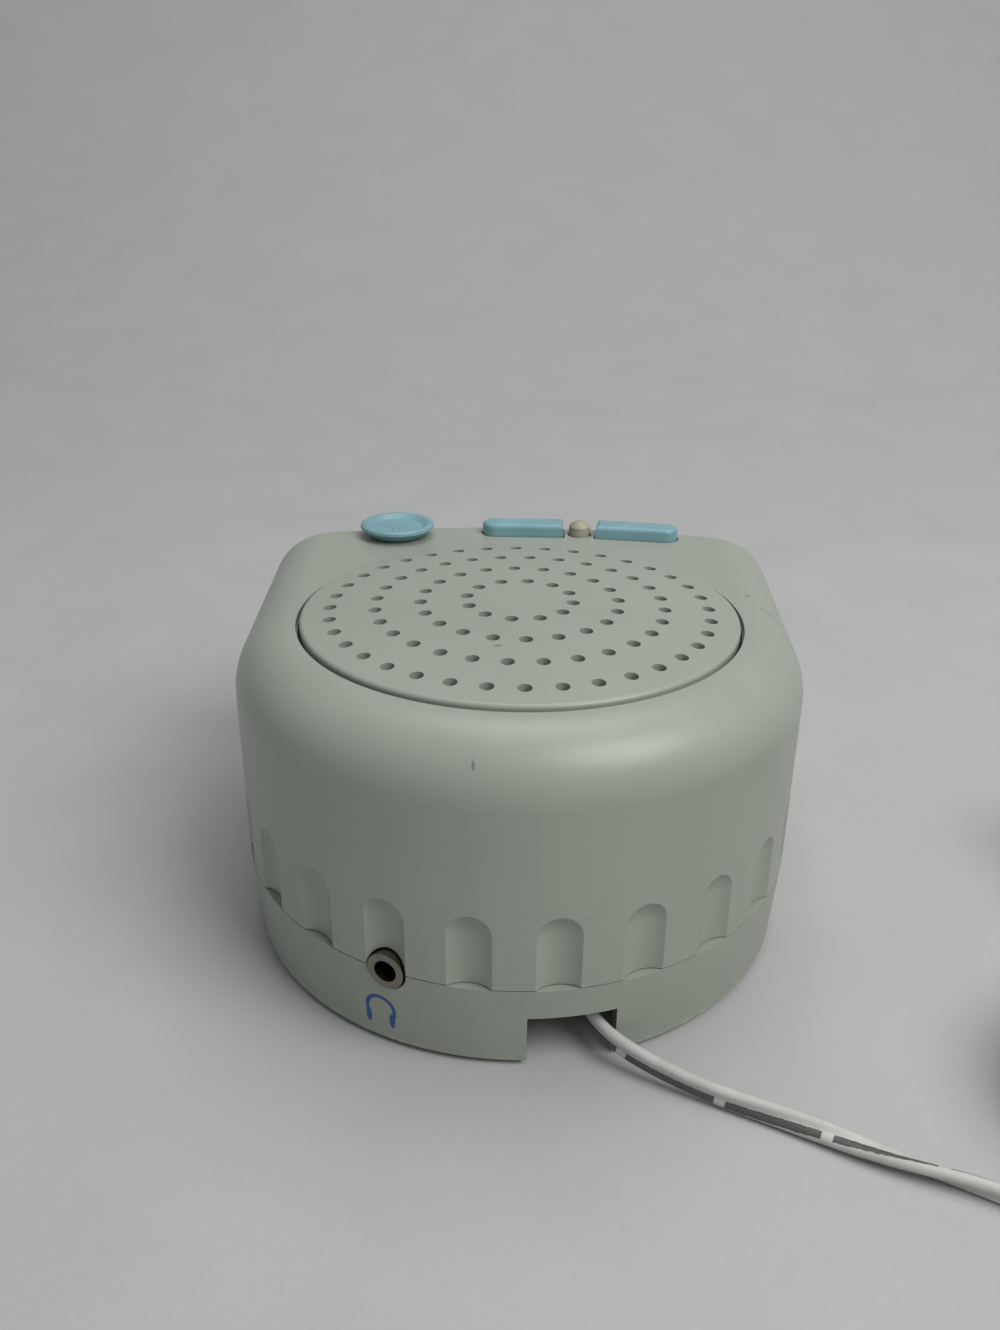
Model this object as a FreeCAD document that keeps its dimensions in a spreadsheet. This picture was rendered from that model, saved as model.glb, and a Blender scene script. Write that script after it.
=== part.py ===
import FreeCAD, Part
import math
import os
import Sketcher
from FreeCAD import Placement, Rotation, Vector

# White noise sound machine, millimetres.
# Z is up and Z = 0 is the table. The buttons and the knob are at the front, -Y.
# The origin is on the table under the middle of the machine's footprint.

os.makedirs("parts", exist_ok=True)
doc = FreeCAD.newDocument("sound_machine")

# Driving sizes
SIZES = {
    # footprint
    "back_radius": 45.0,
    "front_reach": 53.4,
    "side_flare": 2.0,
    "corner_radius": 12.0,
    "front_curve": 160.0,
    # heights
    "foot_drop": 1.0,
    "base_height": 13.5,
    "base_taper": 3.8,
    "seam_gap": 0.2,
    "deck_height": 52.0,
    "deck_tilt": 3.0,
    "shoulder": 9.5,
    "wall": 2.2,
    "floor_thick": 2.0,
    # tongue of the base that the upper housing fits over
    "tongue_height": 1.5,
    "tongue_thick": 1.2,
    "tongue_gap": 0.15,
    # scoops round the foot of the upper housing
    "scoop_half": 3.4,
    "scoop_depth": 1.3,
    "scoop_rise": 12.5,
    "scoop_pitch": 16.1,
    # grille
    "disc_radius": 34.6,
    "disc_gap": 0.6,
    "disc_thick": 1.6,
    "disc_proud": 1.2,
    "disc_crown": 1.68,
    "disc_edge": 0.6,
    "rim_width": 2.6,
    "seat_depth": 1.2,
    "seat_ring_drop": 1.6,
    "hole_radius": 1.05,
    "ring_margin": 4.62,
    "ring_first": 8.47,
    "ring_turn": 8.3,
    "cloth_thick": 0.3,
    # loudspeaker
    "seat_ledge": 3.0,
    "flange_reach": 5.2,
    "flange_width": 8.8,
    "flange_thick": 0.8,
    "basket_slope": 9.0,
    "basket_depth": 12.4,
    "magnet_inset": 2.0,
    "magnet_height": 8.0,
    "back_plate": 2.5,
    "pole_radius": 5.0,
    "coil_radius": 5.5,
    "coil_wall": 0.5,
    "coil_gap": 0.6,
    "surround_width": 4.0,
    "cone_wall": 0.5,
    # controls
    "control_inset": 10.6,
    "button_length": 15.2,
    "button_depth": 4.9,
    "button_proud": 2.3,
    "button_gap": 0.25,
    "button_foot": 0.5,
    "foot_height": 0.6,
    "foot_drop_gap": 0.3,
    "stem_radius": 1.5,
    "stem_drop": 0.8,
    "switch_gap": 0.7,
    "switch_width": 6.0,
    "round_x": -11.1,
    "round_radius": 2.0,
    "round_proud": 2.7,
    "round_dome": 2.4,
    "round_foot": 0.35,
    "round_spacing": 1.1,
    "knob_x": 23.2,
    "knob_inset": 13.0,
    "knob_radius": 6.9,
    "knob_height": 2.1,
    "knob_lift": 0.4,
    "knob_flare": 1.7,
    "knob_dish": 0.9,
    "knob_hub": 4.2,
    "hub_drop": 1.8,
    "shaft_radius": 3.0,
    "shaft_flat": 1.5,
    "board_drop": 8.0,
    "board_thick": 1.6,
    # headphone socket
    "socket_angle": 24.15,
    "socket_hole": 3.25,
    "sleeve_radius": 2.95,
    "sleeve_bore": 1.8,
    "sleeve_length": 12.5,
    "sleeve_proud": 0.1,
    "socket_width": 8.0,
    "socket_length": 12.4,
    "socket_height": 7.0,
    # cord recess and power plug
    "recess_x": -8.5,
    "recess_width": 13.0,
    "recess_end": 4.8,
    "recess_height": 8.3,
    "recess_wall": 1.6,
    "plug_x": -9.6,
    "plug_lift": 5.6,
    "plug_radius": 3.5,
    "plug_length": 15.0,
    "relief_length": 7.0,
    "barrel_radius": 1.75,
    "barrel_length": 9.0,
    # main board
    "main_height": 9.4,
    # fastenings
    "boss_radius": 3.6,
    "boss_rise": 12.0,
    "screw_radius": 1.3,
    "screw_gap": 0.05,
    "foot_radius": 4.5,
    "foot_thick": 1.8,
    # cord and adapter
    "cord_width": 3.2,
    "coil_turn_gap": 1.1,
    "adapter_length": 36.0,
    "adapter_width": 26.0,
    "adapter_height": 22.0,
    "prong_length": 16.0,
}


class Dim:
    """A size that keeps its sheet expression beside its value."""

    def __init__(self, text, value):
        self.text = text
        self.value = value

    def __add__(self, other):
        other = dim(other)
        return Dim("(%s + %s)" % (self.text, other.text), self.value + other.value)

    def __sub__(self, other):
        other = dim(other)
        return Dim("(%s - %s)" % (self.text, other.text), self.value - other.value)

    def __mul__(self, other):
        other = dim(other)
        return Dim("(%s * %s)" % (self.text, other.text), self.value * other.value)

    def __truediv__(self, other):
        other = dim(other)
        return Dim("(%s / %s)" % (self.text, other.text), self.value / other.value)

    def __radd__(self, other):
        return dim(other) + self

    def __rsub__(self, other):
        return dim(other) - self

    def __rmul__(self, other):
        return dim(other) * self

    def __neg__(self):
        return Dim("(0 - %s)" % self.text, -self.value)

    def __float__(self):
        return float(self.value)


def dim(x):
    return x if isinstance(x, Dim) else Dim("(%.6f)" % x, float(x))


def sine(x):
    x = dim(x)
    return Dim("sin(%s * 1deg)" % x.text, math.sin(math.radians(x.value)))


def cosine(x):
    x = dim(x)
    return Dim("cos(%s * 1deg)" % x.text, math.cos(math.radians(x.value)))


sheet = doc.addObject("Spreadsheet::Sheet", "Sizes")
for row, (alias, value) in enumerate(SIZES.items(), start=1):
    sheet.set("A%d" % row, alias)
    sheet.set("B%d" % row, "%.4f" % value)
    sheet.setAlias("B%d" % row, alias)
doc.recompute()


def size(alias):
    return Dim("Sizes.%s" % alias, SIZES[alias])


back_radius = size("back_radius")
front_reach = size("front_reach")
side_flare = size("side_flare")
corner_radius = size("corner_radius")
front_curve = size("front_curve")
wall = size("wall")
deck_height = size("deck_height")
deck_tilt = size("deck_tilt")
boss_radius = size("boss_radius")
boss_rise = size("boss_rise")
screw_radius = size("screw_radius")
cord_width = size("cord_width")

# The machine's middle lies ahead of the grille's centre by this much
grille_y = (front_reach - back_radius) / 2
base_bottom = size("foot_drop")
seam = base_bottom + size("base_height")
housing_bottom = seam + size("seam_gap")
shoulder_in = size("shoulder") - wall
seat_radius = size("disc_radius") + size("disc_gap")
screw_hole = screw_radius + size("screw_gap")
ring_step = (size("disc_radius") - size("ring_margin") - size("ring_first")) / 3
speaker_opening = size("disc_radius") - size("seat_ledge")
speaker_radius = speaker_opening + size("flange_reach")
seat_ring_low = wall + size("seat_ring_drop")
control_y = size("control_inset") - front_reach
knob_x = size("knob_x")
knob_y = size("knob_inset") - front_reach
board_drop = size("board_drop")
main_height = size("main_height")

# Screw posts that join the housings: places counted from the grille's centre
post_reach = back_radius - wall - boss_radius + 0.4
BACK_POST_TURN = 54.0
FRONT_POST_Y = -37.2
front_post_x = (back_radius - wall - FRONT_POST_Y * sine(side_flare)) / cosine(side_flare) - boss_radius + 0.3
POSTS = [
    (post_reach * sine(BACK_POST_TURN), post_reach * cosine(BACK_POST_TURN)),
    (-post_reach * sine(BACK_POST_TURN), post_reach * cosine(BACK_POST_TURN)),
    (front_post_x, dim(FRONT_POST_Y)),
    (-front_post_x, dim(FRONT_POST_Y)),
]
FEET = [(31.0, 9.0), (-31.0, 9.0), (30.0, -37.0), (-30.0, -37.0)]
BOARD_POSTS = [(-26.0, -22.0), (26.0, -22.0), (-26.0, -2.0), (23.0, 24.0)]
# Screws of the control board and of the loudspeaker
CONTROL_SCREWS = (-29.0, 12.5)
control_screw_y = dim(7.8) - front_reach
PILOT_RADIUS = 0.9
STEM_RADIUS = 0.85
SPEAKER_TURNS = (45, 135, 225, 315)
speaker_screw_reach = speaker_radius - 2.4

nodes = []


def bind(thing, **values):
    """Set properties and tie each to its expression. Double underscores stand for dots."""
    for name, value in values.items():
        if not isinstance(value, Dim):
            setattr(thing, name, value)
            continue
        if "__" not in name:
            setattr(thing, name, value.value)
        thing.setExpression(name.replace("__", "."), value.text)
    return thing


def place(thing, x=0, y=0, z=0, axis=None, turn=0):
    """Give a thing its place, with a turn in degrees about axis."""
    x, y, z, turn = dim(x), dim(y), dim(z), dim(turn)
    spin = Rotation(Vector(*axis), float(turn)) if axis else Rotation()
    thing.Placement = Placement(Vector(float(x), float(y), float(z)), spin)
    thing.setExpression("Placement.Base.x", x.text)
    thing.setExpression("Placement.Base.y", y.text)
    thing.setExpression("Placement.Base.z", z.text)
    if axis and float(turn) != 0:
        thing.setExpression("Placement.Rotation.Angle", turn.text + " * 1deg")
    return thing


def box(name, dx, dy, dz, x=0, y=0, z=0, axis=None, turn=0):
    """A block whose middle in X and Y is at (x, y) and whose underside is at z."""
    thing = doc.addObject("Part::Box", name)
    bind(thing, Length=dim(dx), Width=dim(dy), Height=dim(dz))
    return place(thing, dim(x) - dim(dx) / 2, dim(y) - dim(dy) / 2, z, axis, turn)


def rod(name, radius, length, x=0, y=0, z=0, axis=None, turn=0):
    thing = doc.addObject("Part::Cylinder", name)
    bind(thing, Radius=dim(radius), Height=dim(length))
    return place(thing, x, y, z, axis, turn)


def ball(name, radius, x=0, y=0, z=0):
    thing = doc.addObject("Part::Sphere", name)
    bind(thing, Radius=dim(radius))
    return place(thing, x, y, z)


def taper(name, low_radius, high_radius, length, x=0, y=0, z=0, axis=None, turn=0):
    thing = doc.addObject("Part::Cone", name)
    bind(thing, Radius1=dim(low_radius), Radius2=dim(high_radius), Height=dim(length))
    return place(thing, x, y, z, axis, turn)


def fuse(name, things):
    if len(things) == 1:
        return things[0]
    thing = doc.addObject("Part::MultiFuse", name)
    thing.Shapes = things
    thing.Refine = True
    return thing


def cut(name, base, tools):
    thing = doc.addObject("Part::Cut", name)
    thing.Base = base
    thing.Tool = fuse(name + "_tools", tools)
    return thing


def common(name, things):
    thing = doc.addObject("Part::MultiCommon", name)
    thing.Shapes = things
    return thing


def group(name, things):
    thing = doc.addObject("Part::Compound", name)
    thing.Links = things
    return thing


def rounded(name, base, radius, pick):
    """Round the edges of base for which pick(edge) is true."""
    doc.recompute()
    thing = doc.addObject("Part::Fillet", name)
    thing.Base = base
    chosen = [i for i, edge in enumerate(base.Shape.Edges, start=1) if pick(edge)]
    thing.Edges = [(i, float(radius), float(radius)) for i in chosen]
    return thing


def finish(node, thing, on_deck=False):
    """Name a sub-part and set it on the deck or about the grille's centre."""
    thing.Label = node
    if on_deck:
        place(thing, 0, grille_y, deck_height, (1, 0, 0), deck_tilt)
    else:
        place(thing, 0, grille_y, 0)
    nodes.append(thing)
    return thing


def new_body(name):
    return doc.addObject("PartDesign::Body", name)


def origin_plane(body, role):
    return next(f for f in body.Origin.OriginFeatures if f.Role == role)


def sketch_on(body, name, role):
    sketch = body.newObject("Sketcher::SketchObject", name)
    sketch.AttachmentSupport = (origin_plane(body, role), "")
    sketch.MapMode = "FlatFace"
    return sketch


def hold(sketch, kind, *where, value):
    """Add one measured constraint tied to its expression."""
    index = sketch.addConstraint(Sketcher.Constraint(kind, *where, float(value)))
    sketch.renameConstraint(index, "size%d" % index)
    sketch.setExpression("Constraints.size%d" % index, dim(value).text)


def hold_point(sketch, geo, end, x, y):
    """Fix an end of a line at (x, y), both from the sketch's origin."""
    for kind, value in (("DistanceX", x), ("DistanceY", y)):
        if isinstance(value, (int, float)) and value == 0:
            axis = -2 if kind == "DistanceX" else -1
            sketch.addConstraint(Sketcher.Constraint("PointOnObject", geo, end, axis))
        else:
            hold(sketch, kind, -1, 1, geo, end, value=value)


def polygon(sketch, corners):
    """Draw a closed outline of straight lines through corners, each held in place."""
    count = len(corners)
    points = [Vector(float(x), float(y), 0) for x, y in corners]
    for i in range(count):
        sketch.addGeometry(Part.LineSegment(points[i], points[(i + 1) % count]), False)
    for i in range(count):
        sketch.addConstraint(Sketcher.Constraint("Coincident", i, 2, (i + 1) % count, 1))
    for i, (x, y) in enumerate(corners):
        hold_point(sketch, i, 1, x, y)


def turned(name, corners):
    """A body turned about Z from an outline of (radius, height) corners."""
    body = new_body(name)
    sketch = sketch_on(body, name + "_profile", "XZ_Plane")
    polygon(sketch, corners)
    turn = body.newObject("PartDesign::Revolution", name + "_turn")
    turn.Profile = sketch
    turn.ReferenceAxis = (sketch, ["V_Axis"])
    turn.Angle = 360
    doc.recompute()
    return body


def footprint(sketch, inset):
    """The machine's outline about the grille's centre, drawn in by inset.

    A round back, two straight sides that open out a little towards the front,
    two round corners and a slightly bowed front, all tangent.
    """
    radius = back_radius - inset
    corner = corner_radius - inset
    bow = front_curve - inset
    bow_y = front_curve - front_reach
    flare = math.radians(float(side_flare))
    r, c, f = float(radius), float(corner), float(bow)
    side = Vector(math.cos(flare), math.sin(flare), 0)
    along = Vector(math.sin(flare), -math.cos(flare), 0)
    middle = Vector(0, float(bow_y), 0)
    start = side * (r - c) - middle
    half = start.dot(along)
    reach = -half + math.sqrt(half * half - start.dot(start) + (f - c) ** 2)
    centre = side * (r - c) + along * reach
    on_side = centre + side * c
    on_front = middle + (centre - middle).normalize() * f

    def mirrored(v):
        return Vector(-v.x, v.y, 0)

    def arc(mid, rad, begin, end):
        circle = Part.Circle(mid, Vector(0, 0, 1), rad)
        a = math.atan2(begin.y - mid.y, begin.x - mid.x)
        b = math.atan2(end.y - mid.y, end.x - mid.x)
        return Part.ArcOfCircle(circle, a, b if b > a else b + 2 * math.pi)

    shapes = [
        arc(Vector(), r, side * r, mirrored(side * r)),
        Part.LineSegment(mirrored(on_side), mirrored(side * r)),
        arc(mirrored(centre), c, mirrored(on_side), mirrored(on_front)),
        arc(middle, f, mirrored(on_front), on_front),
        arc(centre, c, on_front, on_side),
        Part.LineSegment(on_side, side * r),
    ]
    for shape in shapes:
        sketch.addGeometry(shape, False)
    joins = [(0, 2, 1, 2), (1, 1, 2, 1), (2, 2, 3, 1), (3, 2, 4, 1), (4, 2, 5, 1), (5, 2, 0, 1)]
    for join in joins:
        sketch.addConstraint(Sketcher.Constraint("Tangent", *join))
    sketch.addConstraint(Sketcher.Constraint("Coincident", 0, 3, -1, 1))
    sketch.addConstraint(Sketcher.Constraint("PointOnObject", 3, 3, -2))
    hold(sketch, "Radius", 0, value=radius)
    hold(sketch, "Radius", 2, value=corner)
    hold(sketch, "Radius", 4, value=corner)
    hold(sketch, "Radius", 3, value=bow)
    hold(sketch, "DistanceY", -1, 1, 3, 3, value=bow_y)
    tie_angle(sketch, 1, 90 - side_flare)
    tie_angle(sketch, 5, 90 + side_flare)


def tie_angle(sketch, line, degrees):
    """Hold a line at so many degrees from the sketch's X axis."""
    index = sketch.addConstraint(Sketcher.Constraint("Angle", line, math.radians(float(degrees))))
    sketch.renameConstraint(index, "size%d" % index)
    sketch.setExpression("Constraints.size%d" % index, degrees.text + " * 1deg")


def slab(name, inset, bottom, height, narrowing=None):
    """A pad of the footprint, standing at bottom; narrowing draws its foot in."""
    body = new_body(name)
    sketch = sketch_on(body, name + "_outline", "XY_Plane")
    footprint(sketch, inset)
    pad = body.newObject("PartDesign::Pad", name + "_pad")
    pad.Profile = sketch
    bind(pad, Length=dim(height))
    if narrowing is not None:
        pad.Reversed = True
        bind(pad, TaperAngle=-narrowing)
    doc.recompute()
    lift = dim(bottom) + dim(height) if narrowing is not None else bottom
    return place(body, 0, 0, lift)


def crown(name, inset, bottom, drop, radius):
    """The footprint raised to the tilted deck less drop, with a round shoulder."""
    tall = slab(name + "_tall", inset, bottom, deck_height)
    lid = box(name + "_lid", 4 * back_radius, 4 * back_radius, deck_height)
    half = 2 * back_radius
    place(
        lid,
        -half,
        -half * cosine(deck_tilt) + drop * sine(deck_tilt),
        deck_height - half * sine(deck_tilt) - drop * cosine(deck_tilt),
        (1, 0, 0),
        deck_tilt,
    )
    blunt = cut(name + "_blunt", tall, [lid])
    lean = float(deck_tilt)

    def on_top(edge):
        v = edge.CenterOfMass
        flat = Vector(0, -math.sin(math.radians(lean)), math.cos(math.radians(lean)))
        top = Vector(0, 0, float(deck_height))
        ends = [edge.valueAt(edge.FirstParameter), edge.valueAt(edge.LastParameter), v]
        low = min((p - top).dot(flat) for p in ends[:2])
        return abs(low + float(drop)) < 0.05

    return rounded(name, blunt, radius, on_top)


# Upper housing
def scoop(index, x, y):
    """One scoop: an upright round-ended cutter whose middle stands outside the wall."""
    half = size("scoop_half")
    depth = size("scoop_depth")
    cutter = (half * half + depth * depth) / (2 * depth)
    top = housing_bottom + size("scoop_rise") - half
    shaft = rod("scoop_shaft%d" % index, cutter, top - housing_bottom + 5, x, y, housing_bottom - 5)
    end = ball("scoop_end%d" % index, cutter, x, y, top)
    return [shaft, end]


def scoops():
    half = size("scoop_half")
    depth = size("scoop_depth")
    cutter = (half * half + depth * depth) / (2 * depth)
    out = cutter - depth
    pitch = size("scoop_pitch")
    tools = []
    places = []
    for side in (1, -1):
        for step in range(6):
            turn = side * pitch * (step + 0.5)
            if abs(float(turn)) < 88.0:
                places.append(((back_radius + out) * sine(turn), (back_radius + out) * cosine(turn)))
        for step in range(3):
            down = (step + 0.45) * pitch * back_radius * math.pi / 180
            x = (back_radius + out) * cosine(side_flare) + down * sine(side_flare)
            y = (back_radius + out) * sine(side_flare) - down * cosine(side_flare)
            places.append((side * x, y))
    for index, (x, y) in enumerate(places):
        tools += scoop(index, x, y)
    return tools


def socket_rod(name, radius, begin, length):
    """A rod along the headphone socket's axis, from begin outwards."""
    turn = size("socket_angle")
    x = begin * sine(turn)
    y = begin * cosine(turn)
    thing = doc.addObject("Part::Cylinder", name)
    bind(thing, Radius=dim(radius), Height=dim(length))
    place(thing, x, y, seam)
    thing.setExpression("Placement.Rotation.Angle", None)
    out = Vector(math.sin(math.radians(float(turn))), math.cos(math.radians(float(turn))), 0)
    thing.Placement.Rotation = Rotation(Vector(0, 0, 1), out)
    return thing


def on_deck_tool(thing):
    """Carry a tool that was drawn in the deck's frame to the housing's."""
    carrier = doc.addObject("Part::Compound", thing.Name + "_carried")
    carrier.Links = [thing]
    return place(carrier, 0, 0, deck_height, (1, 0, 0), deck_tilt)


def button_middle(side):
    """Where a button's middle lies: side is 1, 0 for the round button, or -1."""
    reach = size("round_radius") + size("round_spacing") + size("button_length") / 2
    return size("round_x") + side * reach


def on_row(thing, side):
    """Set a thing that was drawn about its own middle on the row of buttons.

    The row runs along the front edge's curve, and each button turns with it.
    """
    x = button_middle(side)
    name = thing.Name
    turned_back = (0 - x) / front_curve * math.degrees(1)
    carrier = place(group(name + "_turned", [thing]), x, row_y(x), 0, (0, 0, -1), turned_back)
    return group(name + "_on_row", [carrier])


def row_y(x):
    return control_y + x * x / (2 * front_curve)


def long_outline(name, side, grow, low, height):
    """A long button about its middle: square at the inner end and round at the outer end."""
    depth = size("button_depth") + 2 * grow
    length = size("button_length")
    straight = length - size("button_depth") / 2
    bar_x = side * (straight - length) / 2 - side * grow / 2
    body = box(name + "_bar", straight + grow, depth, height, bar_x, 0, low)
    end = rod(name + "_end", depth / 2, height, side * (straight - length / 2), 0, low)
    return fuse(name, [body, end])


def upper_housing():
    outer = crown("shell_outer", dim(0), housing_bottom, dim(0), size("shoulder"))
    inner = crown("shell_inner", wall, housing_bottom, wall, shoulder_in)
    shell = cut("shell_hollow", outer, [inner])

    ring_height = size("seat_ring_drop") + 0.4
    ring = rod("seat_ring", speaker_radius + 0.6, ring_height, 0, 0, -seat_ring_low)
    extra = [on_deck_tool(ring)]
    for index, (x, y) in enumerate(POSTS):
        extra.append(rod("boss%d" % index, boss_radius, boss_rise, x, y, housing_bottom))
    for index, x in enumerate(CONTROL_SCREWS):
        boss = rod("board_boss%d" % index, 2.0, board_drop - wall + 0.4, x, control_screw_y, -board_drop)
        extra.append(on_deck_tool(boss))
    # What is added stays inside the shell's outer skin
    solid = fuse("shell_with_bosses", [shell] + extra)
    skin = crown("shell_skin", dim(0), housing_bottom, dim(0), size("shoulder"))
    trimmed = common("shell_trimmed", [solid, skin])

    grow = size("button_gap")
    through = seat_ring_low + 4
    deck_tools = [
        rod("seat_pocket", seat_radius, 5, 0, 0, -size("seat_depth")),
        rod("speaker_mouth", speaker_opening, through, 0, 0, -through + 1),
        on_row(long_outline("hole_right", 1, grow, -6.0, 8), 1),
        on_row(rod("hole_round", size("round_radius") + grow, 8, 0, 0, -6), 0),
        on_row(long_outline("hole_left", -1, grow, -6.0, 8), -1),
        rod("hole_knob", size("knob_hub") + 0.35, 8, knob_x, knob_y, -6),
    ]
    for index, turn in enumerate(SPEAKER_TURNS):
        x = speaker_screw_reach * cosine(turn)
        y = speaker_screw_reach * sine(turn)
        deck_tools.append(rod("ring_pilot%d" % index, PILOT_RADIUS, 2.2, x, y, -seat_ring_low - 0.1))
    for index, x in enumerate(CONTROL_SCREWS):
        pilot = rod("board_pilot%d" % index, PILOT_RADIUS, 4.1, x, control_screw_y, -board_drop - 0.1)
        deck_tools.append(pilot)
    tools = scoops() + [on_deck_tool(tool) for tool in deck_tools]
    for index, (x, y) in enumerate(POSTS):
        tools.append(rod("boss_pilot%d" % index, screw_hole, boss_rise - 2, x, y, housing_bottom - 0.1))
    tools.append(socket_rod("shell_socket", size("socket_hole"), back_radius - 6, dim(12)))
    finish("upper_housing", cut("upper_housing_body", trimmed, tools))


# Base tray
def base_tray():
    height = size("base_height")
    outer = slab("tray_outer", dim(0), base_bottom, height, size("base_taper"))
    floor_top = base_bottom + size("floor_thick")
    inner = slab("tray_inner", wall, floor_top, height - size("floor_thick"), size("base_taper"))
    shell = cut("tray_shell", outer, [inner])
    tongue_inset = wall + size("tongue_gap")
    tongue_height = size("tongue_height")
    tongue_out = slab("tongue_outer", tongue_inset, seam - 2.0, tongue_height + 2.0)
    tongue_in = slab("tongue_inner", tongue_inset + size("tongue_thick"), seam - 2.5, tongue_height + 3.0)
    tongue = cut("tongue", tongue_out, [tongue_in])

    recess_wall = size("recess_wall")
    box_length = back_radius - size("recess_end")
    box_middle = size("recess_end") - recess_wall + (box_length + recess_wall) / 2
    recess_top = size("recess_height") + recess_wall
    shell_box = box(
        "recess_shell",
        size("recess_width") + 2 * recess_wall,
        box_length + recess_wall,
        recess_top,
        size("recess_x"),
        box_middle,
        base_bottom,
    )
    parts = [shell, tongue, shell_box]
    for index, (x, y) in enumerate(POSTS):
        parts.append(rod("post%d" % index, boss_radius, housing_bottom - base_bottom, x, y, base_bottom))
    for index, (x, y) in enumerate(BOARD_POSTS):
        parts.append(rod("board_post%d" % index, 2.5, main_height - base_bottom, x, y, base_bottom))
    solid = fuse("tray_solid", parts)
    skin = fuse(
        "tray_skins",
        [
            slab("tray_skin", dim(0), base_bottom, height, size("base_taper")),
            slab("tongue_skin", tongue_inset, seam - 0.5, tongue_height + 3.0),
        ],
    )
    trimmed = common("tray_trimmed", [solid, skin])

    tools = [
        box(
            "recess",
            size("recess_width"),
            box_length + 10,
            size("recess_height") + 5,
            size("recess_x"),
            size("recess_end") + (box_length + 10) / 2,
            base_bottom - 5,
        )
    ]
    for index, (x, y) in enumerate(POSTS):
        tools.append(rod("post_hole%d" % index, screw_hole + 0.2, height + 3, x, y, base_bottom - 1))
        tools.append(rod("post_sink%d" % index, 2.7, 5, x, y, base_bottom - 1))
        tools.append(rod("tongue_gap%d" % index, boss_radius + 0.3, 4, x, y, housing_bottom))
    for index, (x, y) in enumerate(BOARD_POSTS):
        tools.append(rod("board_hole%d" % index, PILOT_RADIUS, 5, x, y, main_height - 4.5))
    for index, (x, y) in enumerate(FEET):
        tools.append(rod("foot_pocket%d" % index, size("foot_radius") + 0.2, 1.8, x, y, base_bottom - 1))
    tools.append(socket_rod("tray_socket", size("socket_hole"), back_radius - 6, dim(12)))
    power_y = size("recess_end") + 1
    power = rod("power_hole", 3.3, 6, size("plug_x"), power_y, size("plug_lift"), (1, 0, 0), 90)
    tools.append(power)
    finish("base_tray", cut("base_tray_body", trimmed, tools))


# Grille, cloth and loudspeaker, all drawn in the deck's frame
def grille():
    rim_low = -size("seat_depth") + size("cloth_thick")
    ring_out = size("ring_first") + 3 * ring_step
    crown_rise = size("disc_crown")
    dome = (ring_out * ring_out + crown_rise * crown_rise) / (2 * crown_rise)
    dome_top = size("disc_proud") + crown_rise
    radius = size("disc_radius")
    outer = common("disc_outer", [
        rod("disc_rod", radius, 8, 0, 0, rim_low),
        ball("disc_ball", dome, 0, 0, dome_top - dome),
    ])
    hollow = common("disc_hollow", [
        rod("disc_core", radius - size("rim_width"), 8, 0, 0, rim_low - 1),
        ball("disc_inner_ball", dome - size("disc_thick"), 0, 0, dome_top - dome),
    ])

    def top_rim(edge):
        limits = edge.BoundBox
        return abs(limits.XLength - 2 * float(radius)) < 0.1 and limits.ZMin > 0 and limits.ZLength < 0.1

    round_disc = rounded("disc_round", outer, size("disc_edge"), top_rim)
    holes = []
    for ring, (count, turn) in enumerate(((12, 0.0), (20, 1 / 3), (28, 2 / 3), (36, 0.0))):
        reach = size("ring_first") + ring * ring_step
        for index in range(count):
            spin = 180 + size("ring_turn") + 360.0 * (index + turn) / count
            x, y = reach * sine(spin), reach * cosine(spin)
            holes.append(rod("hole%d_%d" % (ring, index), size("hole_radius"), 10, x, y, -3))
    finish("speaker_grille", cut("grille_disc", round_disc, [hollow] + holes), True)
    cloth = rod("cloth_disc", seat_radius - 0.3, size("cloth_thick"), 0, 0, -size("seat_depth"))
    # A primitive with a place of its own is carried in a group, which then gets the deck's place
    finish("grille_cloth", group("cloth_carrier", [cloth]), True)


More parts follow.
